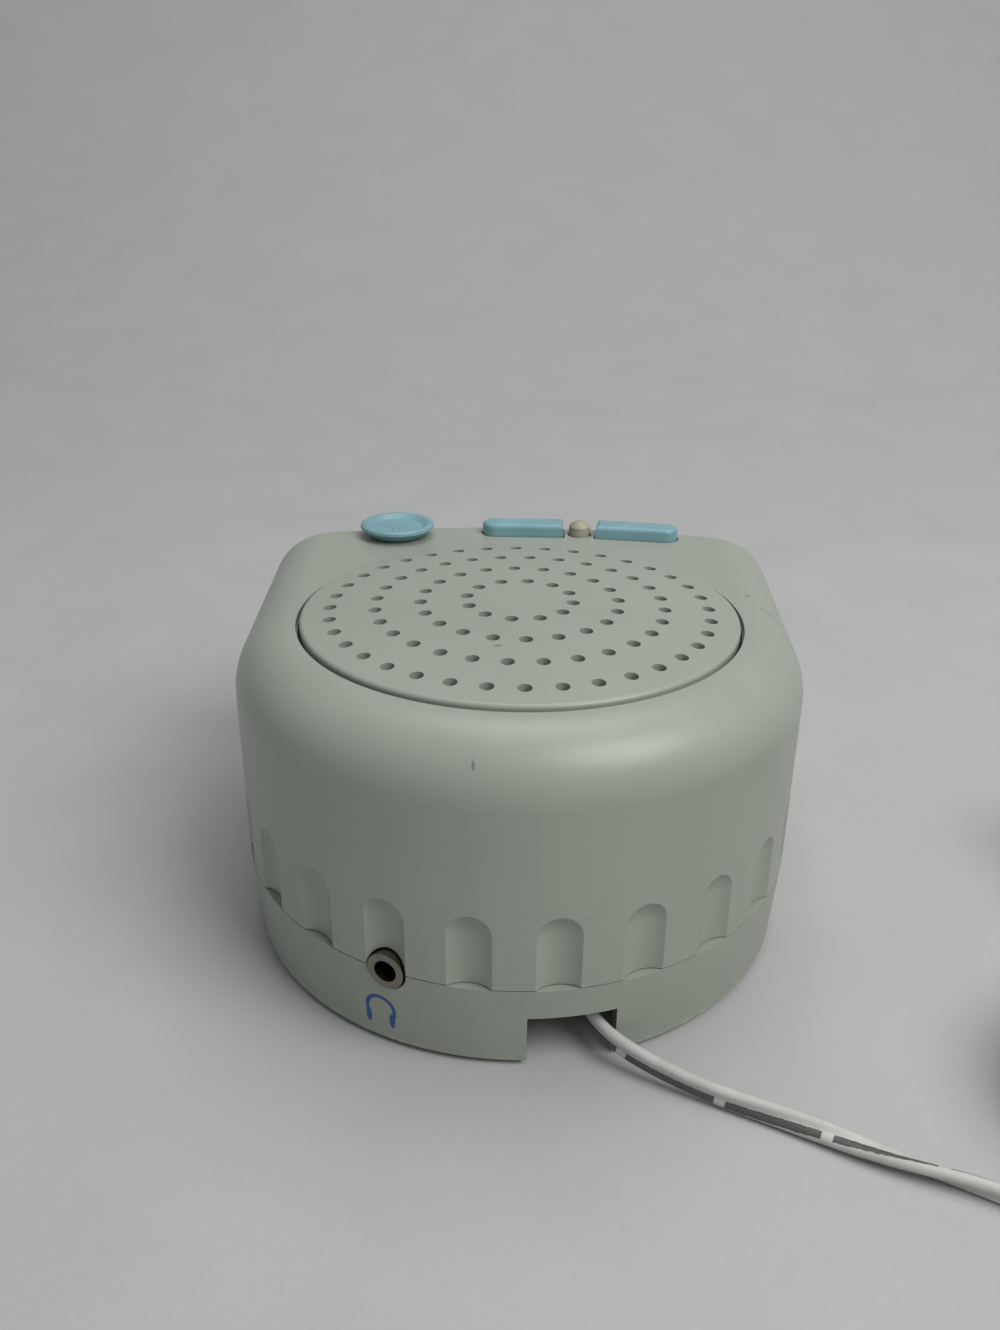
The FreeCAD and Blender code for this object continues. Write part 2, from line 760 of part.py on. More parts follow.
def loudspeaker():
    flange_top = -seat_ring_low
    flange_low = flange_top - size("flange_thick")
    mouth = speaker_radius - size("flange_width")
    bottom = mouth - size("basket_slope")
    magnet_radius = bottom - size("magnet_inset")
    cone_radius = mouth - size("surround_width")
    floor_top = flange_low - size("basket_depth") + size("flange_thick")
    floor_low = floor_top - 1.0
    gap_out = size("coil_radius") + size("coil_wall") + size("coil_gap")
    basket = turned("basket_turned", [
        (mouth - 0.8, flange_top),
        (speaker_radius, flange_top),
        (speaker_radius, flange_low),
        (mouth + 0.2, flange_low),
        (mouth + 0.2, flange_low - 1.4),
        (bottom, floor_low),
        (gap_out, floor_low),
        (gap_out, floor_top),
        (bottom - 0.8, floor_top),
        (mouth - 0.8, flange_low - 1.6),
    ])
    windows = []
    for index in range(4):
        turn = 90.0 * index
        blank = rod("window_rod%d" % index, 7.0, 30, 0, 0, 0)
        middle = floor_top + (flange_low - floor_top) / 2
        spin = Rotation(Vector(0, 0, 1), turn).multiply(Rotation(Vector(0, 1, 0), 90))
        start = 12.0
        place(blank, start * cosine(turn), start * sine(turn), middle)
        blank.Placement.Rotation = spin
        windows.append(blank)
    band_height = size("basket_depth") - 4.4
    flat_band = rod("window_band", speaker_radius + 1, band_height, 0, 0, floor_top + 1.6)
    cutters = [common("window_cut%d" % i, [w, flat_band]) for i, w in enumerate(windows)]
    screws = []
    for index, turn in enumerate(SPEAKER_TURNS):
        x = speaker_screw_reach * cosine(turn)
        y = speaker_screw_reach * sine(turn)
        cutters.append(rod("flange_hole%d" % index, 1.0, 3, x, y, flange_low - 1))
        head = rod("speaker_screw_head%d" % index, 1.7, 1.0, x, y, flange_low - 1.0)
        long = size("flange_thick") + 1.9
        stem = rod("speaker_screw_stem%d" % index, STEM_RADIUS, long, x, y, flange_low - 0.1)
        screws.append(fuse("speaker_screw%d" % index, [head, stem]))
    finish("speaker_basket", cut("basket", basket, cutters), True)
    finish("speaker_screws", group("speaker_screw_set", screws), True)

    magnet_low = floor_low - size("magnet_height")
    pole = size("pole_radius")
    magnet = turned("magnet_turned", [
        (0, floor_top - 0.5),
        (pole, floor_top - 0.5),
        (pole, magnet_low),
        (gap_out, magnet_low),
        (gap_out, floor_low),
        (magnet_radius, floor_low),
        (magnet_radius, magnet_low),
        (magnet_radius - 1.0, magnet_low),
        (magnet_radius - 1.0, magnet_low - size("back_plate")),
        (0, magnet_low - size("back_plate")),
    ])
    finish("speaker_magnet", magnet, True)

    cone_low = floor_top + 4.6
    cone_high = flange_low - 0.6
    coil_out = size("coil_radius") + size("coil_wall")
    cone = turned("cone_turned", [
        (coil_out, cone_low),
        (cone_radius, cone_high),
        (cone_radius, cone_high + size("cone_wall")),
        (cone_radius - 1.2, cone_high + size("cone_wall")),
        (coil_out + 1.0, cone_low + 1.4),
        (coil_out - 1.5, cone_low + 3.2),
        (0, cone_low + 4.0),
        (0, cone_low + 3.5),
        (coil_out - 2.0, cone_low + 2.6),
        (size("coil_radius"), cone_low + 0.8),
        (size("coil_radius"), cone_low),
    ])
    finish("speaker_cone", cone, True)
    coil = turned("coil_turned", [
        (size("coil_radius"), floor_low - 3.6),
        (coil_out, floor_low - 3.6),
        (coil_out, cone_low),
        (size("coil_radius"), cone_low),
    ])
    finish("voice_coil", coil, True)
    edge_in = cone_radius + 0.4
    edge_out = mouth - 0.9
    surround = turned("surround_turned", [
        (edge_in, cone_high),
        (edge_in + 0.9, cone_high + 1.1),
        (edge_out - 0.8, cone_high + 1.1),
        (edge_out, cone_high),
        (edge_out, cone_high - 0.4),
        (edge_out - 1.0, cone_high + 0.6),
        (edge_in + 1.1, cone_high + 0.6),
        (edge_in, cone_high - 0.4),
    ])
    finish("speaker_surround", surround, True)
    spider_out = bottom + 0.4
    spider = turned("spider_turned", [
        (coil_out + 0.3, floor_top + 2.4),
        (spider_out - 0.5, floor_top + 2.4),
        (spider_out - 0.5, floor_top + 2.0),
        (spider_out - 2.0, floor_top + 2.0),
        (spider_out - 2.0, floor_top + 2.0 - 0.2),
        (coil_out + 0.3, floor_top + 2.0 - 0.2),
    ])
    finish("speaker_spider", spider, True)


# Controls, drawn in the deck's frame
def controls():
    buttons()
    knob()
    board_low = -board_drop - size("board_thick")
    board_y = dim(11.4) - front_reach
    board = box("control_blank", 61.0, 11.6, size("board_thick"), -1.0, board_y, board_low)
    holes = []
    screws = []
    for index, x in enumerate(CONTROL_SCREWS):
        holes.append(rod("control_hole%d" % index, 1.1, 4, x, control_screw_y, board_low - 1))
        head = rod("control_screw_head%d" % index, 1.9, 1.2, x, control_screw_y, board_low - 1.2)
        stem = rod("control_screw_stem%d" % index, STEM_RADIUS, 5.0, x, control_screw_y, board_low - 0.1)
        screws.append(fuse("control_screw%d" % index, [head, stem]))
    finish("control_board", cut("control_cut", board, holes), True)
    finish("control_screws", group("control_screw_set", screws), True)


def buttons():
    """Two long caps and a round one, each with a foot that stays under the deck and a stem."""
    foot_top = -(wall + size("foot_drop_gap"))
    foot_low = foot_top - size("foot_height")
    foot_height = size("foot_height")
    tip = foot_low - size("stem_drop")
    stem_radius = size("stem_radius")
    proud = size("button_proud")

    def on_rim(edge):
        ends = [edge.valueAt(edge.FirstParameter), edge.valueAt(edge.LastParameter)]
        return all(abs(p.z - float(proud)) < 0.01 for p in ends)

    for where, side in (("right", 1), ("left", -1)):
        cap = long_outline("cap_" + where, side, dim(0), foot_low, proud - foot_low)
        smooth = rounded("cap_round_" + where, cap, dim(0.8), on_rim)
        foot = long_outline("cap_foot_" + where, side, size("button_foot"), foot_low, foot_height)
        stem = rod("cap_stem_" + where, stem_radius, foot_low - tip, 0, 0, tip)
        body = fuse("button_body_" + where, [smooth, foot, stem])
        finish("button_" + where, on_row(body, side), True)

    radius = size("round_radius")
    round_proud = size("round_proud")
    dome_radius = size("round_dome")
    dome = common("round_dome", [
        rod("round_rod", radius, round_proud - foot_low + 1, 0, 0, foot_low),
        ball("round_ball", dome_radius, 0, 0, round_proud - dome_radius),
        box("round_keep", 20, 20, 10, 0, 0, round_proud - dome_radius),
    ])
    barrel = rod("round_barrel", radius, round_proud - dome_radius - foot_low, 0, 0, foot_low)
    foot = rod("round_flange", radius + size("round_foot"), foot_height, 0, 0, foot_low)
    stem = rod("round_stem", stem_radius, foot_low - tip, 0, 0, tip)
    finish("button_round", on_row(fuse("round_body", [dome, barrel, foot, stem]), 0), True)

    switch_top = tip - size("switch_gap")
    width = size("switch_width")
    plunger_low = switch_top - 0.9
    for where, side in (("right", 1), ("round", 0), ("left", -1)):
        across = width - 1.4 if side == 0 else width
        body = box("switch_box_" + where, across, width, switch_top + board_drop, 0, 0, -board_drop)
        bore = rod("switch_bore_" + where, 1.45, 3.0, 0, 0, switch_top - 2.0)
        finish("switch_" + where, on_row(cut("switch_cut_" + where, body, [bore]), side), True)
        plunger = rod("plunger_rod_" + where, 1.4, tip - plunger_low, 0, 0, plunger_low)
        finish("plunger_" + where, on_row(plunger, side), True)


def knob():
    """A low dished knob that flares to its rim, with a hub that the shaft goes up into."""
    lift = size("knob_lift")
    radius = size("knob_radius")
    top = lift + size("knob_height")
    hub = size("knob_hub")
    hub_low = -size("hub_drop")
    dish = size("knob_dish")
    shaft_radius = size("shaft_radius")
    flat_y = knob_y + size("shaft_flat") + 1.5
    blank = turned("knob_turned", [
        (0, hub_low),
        (hub, hub_low),
        (hub, lift),
        (radius - size("knob_flare"), lift),
        (radius, top - 0.7),
        (radius - 0.1, top - 0.25),
        (radius - 0.5, top),
        (radius - 1.1, top),
        (radius - 2.3, top - dish + 0.15),
        (0, top - dish),
    ])
    place(blank, knob_x, knob_y, 0)
    bore_rod = rod("knob_bore_rod", shaft_radius + 0.03, 2.9, knob_x, knob_y, hub_low - 0.1)
    bore = cut("knob_bore", bore_rod, [box("knob_bore_flat", 8, 3, 4, knob_x, flat_y + 0.03, hub_low - 0.5)])
    ridge_long = radius - 3.2
    ridge = box("knob_ridge", 0.9, ridge_long, 0.6, knob_x, knob_y + ridge_long / 2 + 1.0, top - dish - 0.2)
    finish("volume_knob", cut("knob_cut", fuse("knob_solid", [blank, ridge]), [bore]), True)

    pot = box("pot_box", 10.0, 9.0, 4.6, knob_x, knob_y, -board_drop)
    pot_bore = rod("pot_bore", shaft_radius + 0.05, 4.0, knob_x, knob_y, 1.0 - board_drop)
    finish("volume_potentiometer", cut("pot_cut", pot, [pot_bore]), True)
    shaft_low = 1.4 - board_drop
    shaft = rod("shaft_rod", shaft_radius, 0.9 - shaft_low, knob_x, knob_y, shaft_low)
    flat = box("shaft_flat_cut", 8, 3, 4, knob_x, flat_y, hub_low)
    finish("potentiometer_shaft", cut("shaft_cut", shaft, [flat]), True)


# Main board and what stands on it
def electronics():
    low = main_height
    thick = size("board_thick")
    top = low + thick
    back_edge = back_radius - 16.5
    body = new_body("main_body")
    sketch = sketch_on(body, "main_outline", "XY_Plane")
    polygon(sketch, [
        (dim(-30.0), dim(-26.0)),
        (dim(30.0), dim(-26.0)),
        (dim(30.0), dim(2.0)),
        (dim(27.0), back_edge),
        (dim(3.0), back_edge),
        (dim(3.0), size("recess_end") - size("recess_wall") - 0.5),
        (dim(-30.0), size("recess_end") - size("recess_wall") - 0.5),
    ])
    pad = body.newObject("PartDesign::Pad", "main_pad")
    pad.Profile = sketch
    bind(pad, Length=thick)
    doc.recompute()
    place(body, 0, 0, low)
    holes = [rod("main_hole%d" % i, 1.1, 4, x, y, low - 1) for i, (x, y) in enumerate(BOARD_POSTS)]
    finish("main_board", cut("main_cut", body, holes))
    screws = []
    for index, (x, y) in enumerate(BOARD_POSTS):
        head = rod("main_screw_head%d" % index, 2.0, 1.3, x, y, top)
        stem = rod("main_screw_stem%d" % index, STEM_RADIUS, thick + 4.2, x, y, low - 4.1)
        screws.append(fuse("main_screw%d" % index, [head, stem]))
    finish("main_board_screws", group("main_screw_set", screws))

    chip = box("chip_body", 13.0, 7.6, 2.4, 12.0, -6.0, top + 0.3)
    legs = []
    for side in (1, -1):
        for index in range(7):
            x = 12.0 + (index - 3) * 1.8
            legs.append(box("chip_leg%d_%d" % (side, index), 0.5, 1.4, 1.4, x, -6.0 + side * 4.4, top))
    finish("sound_chip", fuse("chip_solid", [chip] + legs))
    caps = []
    cans = ((-8.0, -12.0, 4.0, 10.0), (-18.0, -12.0, 3.15, 8.0))
    for index, (x, y, radius, height) in enumerate(cans):
        caps.append(rod("capacitor%d" % index, radius, height, x, y, top))
    finish("capacitors", group("capacitor_set", caps))

    turn = size("socket_angle")
    reach = back_radius - wall - size("tongue_gap") - size("tongue_thick") - 0.25
    body = doc.addObject("Part::Box", "socket_box")
    bind(body, Length=size("socket_width"), Width=size("socket_length"), Height=size("socket_height"))
    half = size("socket_width") / 2
    x = (reach - size("socket_length")) * sine(turn) - half * cosine(turn)
    y = (reach - size("socket_length")) * cosine(turn) + half * sine(turn)
    place(body, x, y, seam - size("socket_height") / 2, (0, 0, -1), turn)
    sleeve_begin = back_radius + size("sleeve_proud") - size("sleeve_length")
    bore = socket_rod("socket_bore", size("sleeve_radius") + 0.01, sleeve_begin, size("sleeve_length"))
    finish("headphone_socket", cut("socket_cut", body, [bore]))
    sleeve = socket_rod("sleeve_rod", size("sleeve_radius"), sleeve_begin, size("sleeve_length"))
    hole = socket_rod("sleeve_hole", size("sleeve_bore"), sleeve_begin - 1, size("sleeve_length") + 2)
    finish("headphone_sleeve", cut("sleeve_cut", sleeve, [hole]))

    jack_length = 12.0
    jack_low = base_bottom + size("floor_thick") + 0.05
    jack_front = size("recess_end") - size("recess_wall") - 0.1
    plug_x, plug_lift = size("plug_x"), size("plug_lift")
    lying = (1, 0, 0)
    jack_y = jack_front - jack_length / 2
    jack = box("power_box", 9.0, jack_length, low - jack_low - 0.05, plug_x, jack_y, jack_low)
    nose_y = size("recess_end") - 0.1
    nose_long = size("recess_wall") + 0.4
    nose = rod("power_nose", 3.1, nose_long, plug_x, nose_y, plug_lift, lying, 90)
    bore_radius = size("barrel_radius") + 0.05
    bore_long = size("barrel_length") + 1
    bore_y = size("recess_end") + 0.5
    socket_hole = rod("power_bore", bore_radius, bore_long, plug_x, bore_y, plug_lift, lying, 90)
    finish("power_socket", cut("power_cut", fuse("power_solid", [jack, nose]), [socket_hole]))


# Fastenings and feet
def fastenings():
    screws = []
    for index, (x, y) in enumerate(POSTS):
        head = rod("house_head%d" % index, 2.5, 1.8, x, y, base_bottom + 2.2)
        stem = rod("house_stem%d" % index, screw_radius, size("base_height") + 5, x, y, base_bottom + 3.9)
        slot = box("house_slot%d" % index, 0.7, 3.4, 0.8, x, y, base_bottom + 2.1)
        cross = box("house_cross%d" % index, 3.4, 0.7, 0.8, x, y, base_bottom + 2.1)
        blank = fuse("house_blank%d" % index, [head, stem])
        screws.append(cut("house_screw%d" % index, blank, [slot, cross]))
    finish("housing_screws", group("housing_screw_set", screws))
    feet = []
    for index, (x, y) in enumerate(FEET):
        feet.append(rod("foot%d" % index, size("foot_radius"), size("foot_thick"), x, y, 0))
    finish("rubber_feet", group("foot_set", feet))


def pipe_path(points):
    """Straight runs joined by tangent arcs. Prints the smallest radius."""
    edges = []
    last = points[0]
    radii = []
    for before, corner, after in zip(points, points[1:], points[2:]):
        back = (before - corner)
        ahead = (after - corner)
        half = (math.pi - back.getAngle(ahead)) / 2
        trim = 0.45 * min(back.Length, ahead.Length)
        radii.append(trim / math.tan(half))
        begin = corner + Vector(back).normalize() * trim
        end = corner + Vector(ahead).normalize() * trim
        bisector = (Vector(back).normalize() + Vector(ahead).normalize()).normalize()
        depth = trim / math.tan(half) * (1 / math.cos(half) - 1)
        middle = corner + bisector * depth
        edges.append(Part.LineSegment(last, begin).toShape())
        edges.append(Part.Arc(begin, middle, end).toShape())
        last = end
    edges.append(Part.LineSegment(last, points[-1]).toShape())
    return Part.Wire(edges), radii


def tube(node, points, radius, report=True):
    """A round tube along pipe_path(points)."""
    path, radii = pipe_path(points)
    start = (points[1] - points[0]).normalize()
    ring = Part.Wire([Part.Circle(points[0], start, radius).toShape()])
    shape = path.makePipeShell([ring], True, False)
    ideal = math.pi * radius * radius * path.Length
    if report:
        listed = ", ".join("%.1f" % r for r in radii)
        print("%s: length %.1f, radii %s" % (node, path.Length, listed))
        print("%s: volume over ideal %.4f" % (node, shape.Volume / ideal))
    return shape


def strip(node, points, width, thick):
    """A flat cable across X along pipe_path(points)."""
    path, _ = pipe_path(points)
    begin = points[0]
    along = (points[1] - begin).normalize()
    across = Vector(1, 0, 0)
    up = along.cross(across)
    corners = [
        begin + across * (i * width / 2) + up * (j * thick / 2)
        for i, j in ((1, 1), (-1, 1), (-1, -1), (1, -1), (1, 1))
    ]
    return path.makePipeShell([Part.makePolygon(corners)], True, False)


def leads():
    """Two speaker leads and the ribbon between the boards, inside the housing."""
    y0 = float(grille_y)
    main_top = float(main_height + size("board_thick"))
    basket_low = float(deck_height - seat_ring_low - size("basket_depth")) - 1.6
    land = main_top + 0.2
    for node, x, y in (("speaker_lead_red", 16.6, -6.6), ("speaker_lead_black", 14.6, -10.0)):
        # Heights as shares of the way from the main board up to the basket
        steps = ((0, 0, 1), (0, -0.2, 0.77), (1.5, -2.0, 0.52), (2.0, -5.0, 0.25), (2.0, -5.2, 0))
        points = [
            Vector(x + aside, y0 + y + back, land + share * (basket_low - land))
            for aside, back, share in steps
        ]
        add_shape(node, tube(node, points, 0.6, False))
    ribbon_top = float(deck_height) - 14.0
    ribbon_low = main_top + 0.6
    front = float(16.4 - front_reach)
    steps = ((0, 1), (-0.2, 0.735), (3.0, 0.47), (9.0, 0.242), (14.0, 0))
    ribbon = [
        Vector(0, y0 + front + back, ribbon_low + share * (ribbon_top - ribbon_low))
        for back, share in steps
    ]
    add_shape("ribbon_cable", strip("ribbon_cable", ribbon, 9.0, 0.9))


def add_shape(node, shape):
    made = doc.addObject("Part::Feature", node + "_shape")
    made.Shape = shape
    made.Label = node
    nodes.append(made)
    return made


# Free cord, plug and adapter
def power_plug():
    recess_end = size("recess_end")
    x = size("plug_x")
    z = size("plug_lift")
    face = recess_end + 0.2
    back = face + size("plug_length")
    lying = (1, 0, 0)
    plug = rod("plug_body", size("plug_radius"), size("plug_length"), x, back, z, lying, 90)
    relief_length = size("relief_length") - 0.2
    relief = taper(
        "plug_relief",
        cord_width / 2 + 0.5,
        size("plug_radius") - 0.6,
        relief_length,
        x,
        back + relief_length,
        z,
        lying,
        90,
    )
    finish("power_plug", fuse("plug_solid", [plug, relief]))
    length = size("barrel_length")
    barrel = rod("barrel_rod", size("barrel_radius"), length, x, face, z, lying, 90)
    bore = rod("barrel_hole", 0.7, length, x, face - 1.0, z, lying, 90)
    finish("plug_barrel", cut("barrel_cut", barrel, [bore]))


COIL_STEPS = 6
COIL_OUTER = 24.4


def coil_edges(start, toward, side):
    """The wound cord: half turns that spiral in, out, in and out in four layers.

    start is where the outer turn begins, toward the way the cord runs there, and
    side the way to the coil's middle. Each half turn that changes layer climbs.
    """
    pitch = float(cord_width) + float(size("coil_turn_gap"))
    rise = 0.96 * pitch
    inward = range(1, COIL_STEPS + 1)
    stops = [(0, 0)] + [(step, 0) for step in inward]
    stops += [(step, 1) for step in reversed(inward)]
    stops += [(step, 2) for step in inward]
    stops += [(step, 3) for step in reversed(inward)]
    middle = start + side * COIL_OUTER
    edges = []
    here = start
    sign = 1
    for step, layer in stops[1:]:
        sign = -sign
        there = middle - side * (sign * (COIL_OUTER - step * pitch / 2))
        there.z = start.z + layer * rise
        crest = (here + there) * 0.5 - toward * (sign * (there - here).Length / 2)
        edges.append(Part.Arc(here, crest, there).toShape())
        here = there
    # Half of one more such turn leaves the top of the coil towards the adapter
    radius = COIL_OUTER - stops[-1][0] * pitch / 2 + pitch / 4
    centre = middle + side * (pitch / 4)
    centre.z = here.z
    there = centre + toward * radius
    crest = centre + (toward - side) * (radius / math.sqrt(2))
    edges.append(Part.Arc(here, crest, there).toShape())
    return edges, there, side


def least_gap(edges, width):
    """The least gap between stretches of a tube that aren't neighbours, on points."""
    points = []
    for edge in edges:
        points += edge.discretize(max(3, int(edge.Length / 1.5)))[:-1]
    travelled = [0.0]
    for a, b in zip(points, points[1:]):
        travelled.append(travelled[-1] + (b - a).Length)
    least = 1e9
    for i, a in enumerate(points):
        for j in range(i + 1, len(points)):
            if travelled[j] - travelled[i] > 8 * width:
                least = min(least, (a - points[j]).Length)
    return least - width


def free_cord():
    """The stretch on the table, the wound rest and the tail into the adapter."""
    width = float(cord_width)
    rest = width / 2
    plug_end = size("recess_end") + size("plug_length") + size("relief_length")
    run = [
        Vector(float(size("plug_x")), float(grille_y + plug_end), float(size("plug_lift"))),
        Vector(-9.6, 37.5, 5.6),
        Vector(-10.9, 43.0, 5.4),
        Vector(-14.2, 47.6, 4.6),
        Vector(-20.3, 51.3, 3.2),
        Vector(-28.8, 55.2, 1.9),
        Vector(-39.5, 59.6, rest),
        Vector(-50.5, 65.3, rest),
        Vector(-62.0, 69.9, rest),
        Vector(-74.0, 76.6, rest),
        Vector(-86.0, 80.4, rest),
    ]
    add_shape("cord_run", tube("cord_run", run, rest))

    start = run[-1]
    toward = (run[-1] - run[-2]).normalize()
    side = Vector(-toward.y, toward.x, 0)
    turn_start = start + toward * width
    edges, turn_end, heading = coil_edges(turn_start, toward, side)
    end = turn_end + heading * width
    edges = [Part.LineSegment(start, turn_start).toShape()] + edges
    edges.append(Part.LineSegment(turn_end, end).toShape())
    path = Part.Wire(edges)
    ring = Part.Wire([Part.Circle(start, toward, rest).toShape()])
    coil = path.makePipeShell([ring], True, False)
    ideal = math.pi * rest * rest * path.Length
    print("cord_coil: length %.1f, volume over ideal %.4f" % (path.Length, coil.Volume / ideal))
    print("cord_coil: least gap to itself %.2f" % least_gap(edges, width))
    add_shape("cord_coil", coil)

    entry_height = float(size("adapter_height")) / 2
    tail = [
        end,
        end + heading * 7.0,
        end + heading * 15.5 - toward * 2.2,
        end + heading * 23.5 - toward * 6.4,
    ]
    tail[2].z = entry_height
    tail[3].z = entry_height
    add_shape("cord_tail", tube("cord_tail", tail, rest))
    adapter(tail[3], tail[3] - tail[2])


BLADE_WIDE = 6.3
BLADE_THICK = 1.5
BLADE_ROOT = 4.0


def adapter(entry, heading):
    """A wall adapter lying on its face beside the coil, blades up.

    It is drawn with X along its length from the cord's entry, then set down there.
    """
    length = float(size("adapter_length"))
    width = float(size("adapter_width"))
    height = float(size("adapter_height"))
    relief = 8.0
    shell = 2.0
    split = height / 2
    turn = math.degrees(math.atan2(heading.y, heading.x))
    here = Placement(Vector(entry.x, entry.y, 0), Rotation(Vector(0, 0, 1), turn))

    def block(low, high, inset):
        long = length - 2 * inset
        corner = Vector(relief + inset, inset - width / 2, low)
        made = Part.makeBox(long, width - 2 * inset, high - low, corner)
        upright = [e for e in made.Edges if e.BoundBox.ZLength > high - low - 0.01]
        return made.makeFillet(4.0 - inset, upright)

    front = block(0, split, 0).cut(block(shell, split + 1, shell))
    back = block(split + 0.1, height, 0).cut(block(split - 1, height - shell, shell))
    blade_x = relief + length - 11.0
    blades = []
    for y in (-6.35, 6.35):
        foot = Vector(blade_x - BLADE_WIDE / 2, y - BLADE_THICK / 2, height - BLADE_ROOT)
        blade = Part.makeBox(BLADE_WIDE, BLADE_THICK, float(size("prong_length")) + BLADE_ROOT, foot)
        hole = Part.makeBox(BLADE_WIDE, BLADE_THICK, 2 * BLADE_ROOT, foot)
        back = back.cut(hole)
        blades.append(blade)
    entry_low = Part.makeCylinder(2.6, shell + 0.4, Vector(relief - 0.2, 0, split), Vector(1, 0, 0))
    front = front.cut(entry_low)
    back = back.cut(entry_low)
    core_corner = Vector(relief + 3.5, 3.5 - width / 2, shell + 0.2)
    core = Part.makeBox(length - 18, width - 7, height - 6, core_corner)
    narrow = float(cord_width) / 2 + 0.6
    taper_piece = Part.makeCone(narrow, 2.5, relief + shell, Vector(0, 0, split), Vector(1, 0, 0))
    for node, shape in (
        ("adapter_front", front),
        ("adapter_back", back),
        ("adapter_blades", Part.makeCompound(blades)),
        ("adapter_core", core),
        ("adapter_relief", taper_piece),
    ):
        add_shape(node, shape).Placement = here


upper_housing()
base_tray()
grille()
loudspeaker()
controls()
electronics()
fastenings()
leads()
power_plug()
free_cord()
doc.recompute()

# Every object is checked before anything is written
faults = []
for thing in doc.Objects:
    if "Invalid" in thing.State or "Error" in thing.State:
        faults.append("%s: %s" % (thing.Name, thing.State))
for thing in nodes:
    if thing.Shape.isNull() or not thing.Shape.isValid():
        faults.append("%s has no valid shape" % thing.Label)
if faults:
    raise SystemExit("\n".join(faults))
for thing in nodes:
    thing.Shape.exportStep("parts/%s.step" % thing.Label)
    limits = thing.Shape.BoundBox
    print("%-22s solids %2d volume %9.1f x %.1f..%.1f y %.1f..%.1f z %.1f..%.1f" % (
        thing.Label, len(thing.Shape.Solids), thing.Shape.Volume,
        limits.XMin, limits.XMax, limits.YMin, limits.YMax, limits.ZMin, limits.ZMax))
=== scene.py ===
# %% [markdown]
# # A bedside sound machine
# The machine is a small moulded box with a loudspeaker under a round grille. CAD already made its
# working parts, so they load first, and everything new is placed from their boxes. All lengths
# are metres, Z is up, and the cord and the headphone socket are on the +Y side.

# %% Load the working parts
import math

import bmesh
import bpy
from mathutils import Matrix, Vector


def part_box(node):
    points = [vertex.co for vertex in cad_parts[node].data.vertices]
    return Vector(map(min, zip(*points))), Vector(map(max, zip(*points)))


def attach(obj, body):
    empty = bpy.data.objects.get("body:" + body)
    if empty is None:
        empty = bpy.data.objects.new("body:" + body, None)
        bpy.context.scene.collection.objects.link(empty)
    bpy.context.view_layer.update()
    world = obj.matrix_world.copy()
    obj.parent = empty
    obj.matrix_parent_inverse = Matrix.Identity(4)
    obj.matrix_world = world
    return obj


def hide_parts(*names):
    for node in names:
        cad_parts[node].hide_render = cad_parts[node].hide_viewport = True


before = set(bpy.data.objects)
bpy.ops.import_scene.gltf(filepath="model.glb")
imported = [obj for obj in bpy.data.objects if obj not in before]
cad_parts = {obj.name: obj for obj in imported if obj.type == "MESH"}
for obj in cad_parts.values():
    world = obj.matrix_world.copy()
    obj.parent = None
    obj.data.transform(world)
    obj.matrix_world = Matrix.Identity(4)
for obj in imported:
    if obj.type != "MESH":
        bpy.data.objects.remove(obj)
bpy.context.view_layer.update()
MM = 0.001

# %% [markdown]
# ## Camera
# The photograph was taken from behind the machine, a little above it, with the camera close by.
# A close camera makes the near wall look large and the knob at the far side small, so the lens
# and the distance were worked out together from the grille's rings.

# %% Camera
CAMERA_PLACE = Vector((0.0, 0.18523, 0.13441))
CAMERA_FORWARD = Vector((0.015, -0.8928, -0.4502)).normalized()
CAMERA_UP = Vector((0.0158, -0.45, 0.8929))
LENS_MM = 33.9
SENSOR_MM = 36.0
NEAREST_SEEN = 0.01


def turned_to(forward, up):
    """A rotation that looks along forward, with up as near the picture's top as it goes."""
    right = forward.cross(up).normalized()
    return Matrix((right, right.cross(forward), -forward)).transposed().to_4x4()


camera = bpy.data.objects.new("camera", bpy.data.cameras.new("camera"))
bpy.context.scene.collection.objects.link(camera)
camera.data.lens = LENS_MM
camera.data.sensor_width = SENSOR_MM
camera.data.clip_start = NEAREST_SEEN
camera.matrix_world = Matrix.Translation(CAMERA_PLACE) @ turned_to(CAMERA_FORWARD, CAMERA_UP)
bpy.context.scene.camera = camera
bpy.context.scene.view_settings.view_transform = "Standard"
print("camera looks down by %.1f degrees" % math.degrees(math.asin(-CAMERA_FORWARD.z)))

# %% [markdown]
# ## Cord: the route
# The low voltage cord leaves the power plug inside the notch, drops to the table and runs off to
# the picture's right edge. The photograph shows about 6 cm of it, and the rest is wound into a
# coil beyond the edge, with the wall adapter at its end. The line is one NURBS spline. Its points
# on the stretch that shows are listed one by one, and the coil's turns add points on circles.

# %% Cord route
CORD_WIDTH = 3.2 * MM
CORD_EXIT = Vector((-9.6, 31.0, 5.6)) * MM
SEEN_RUN = [
    CORD_EXIT,
    Vector((-9.6, 37.5, 5.6)) * MM,
    Vector((-10.9, 43.0, 5.4)) * MM,
    Vector((-14.2, 47.6, 4.6)) * MM,
    Vector((-20.3, 51.3, 3.2)) * MM,
    Vector((-28.8, 55.2, 1.9)) * MM,
    Vector((-39.5, 59.6, 1.6)) * MM,
    Vector((-50.5, 65.3, 1.6)) * MM,
    Vector((-62.0, 69.9, 1.6)) * MM,
    Vector((-74.0, 76.6, 1.6)) * MM,
    Vector((-86.0, 80.4, 1.6)) * MM,
]
COIL_OUTER = 24.4 * MM
TURN_PITCH = 4.3 * MM
LAYER_RISE = 0.96 * TURN_PITCH
STEPS_IN = range(1, 7)
POINTS_PER_HALF = 8
SPLINE_ORDER = 3
PIECES_PER_POINT = 6


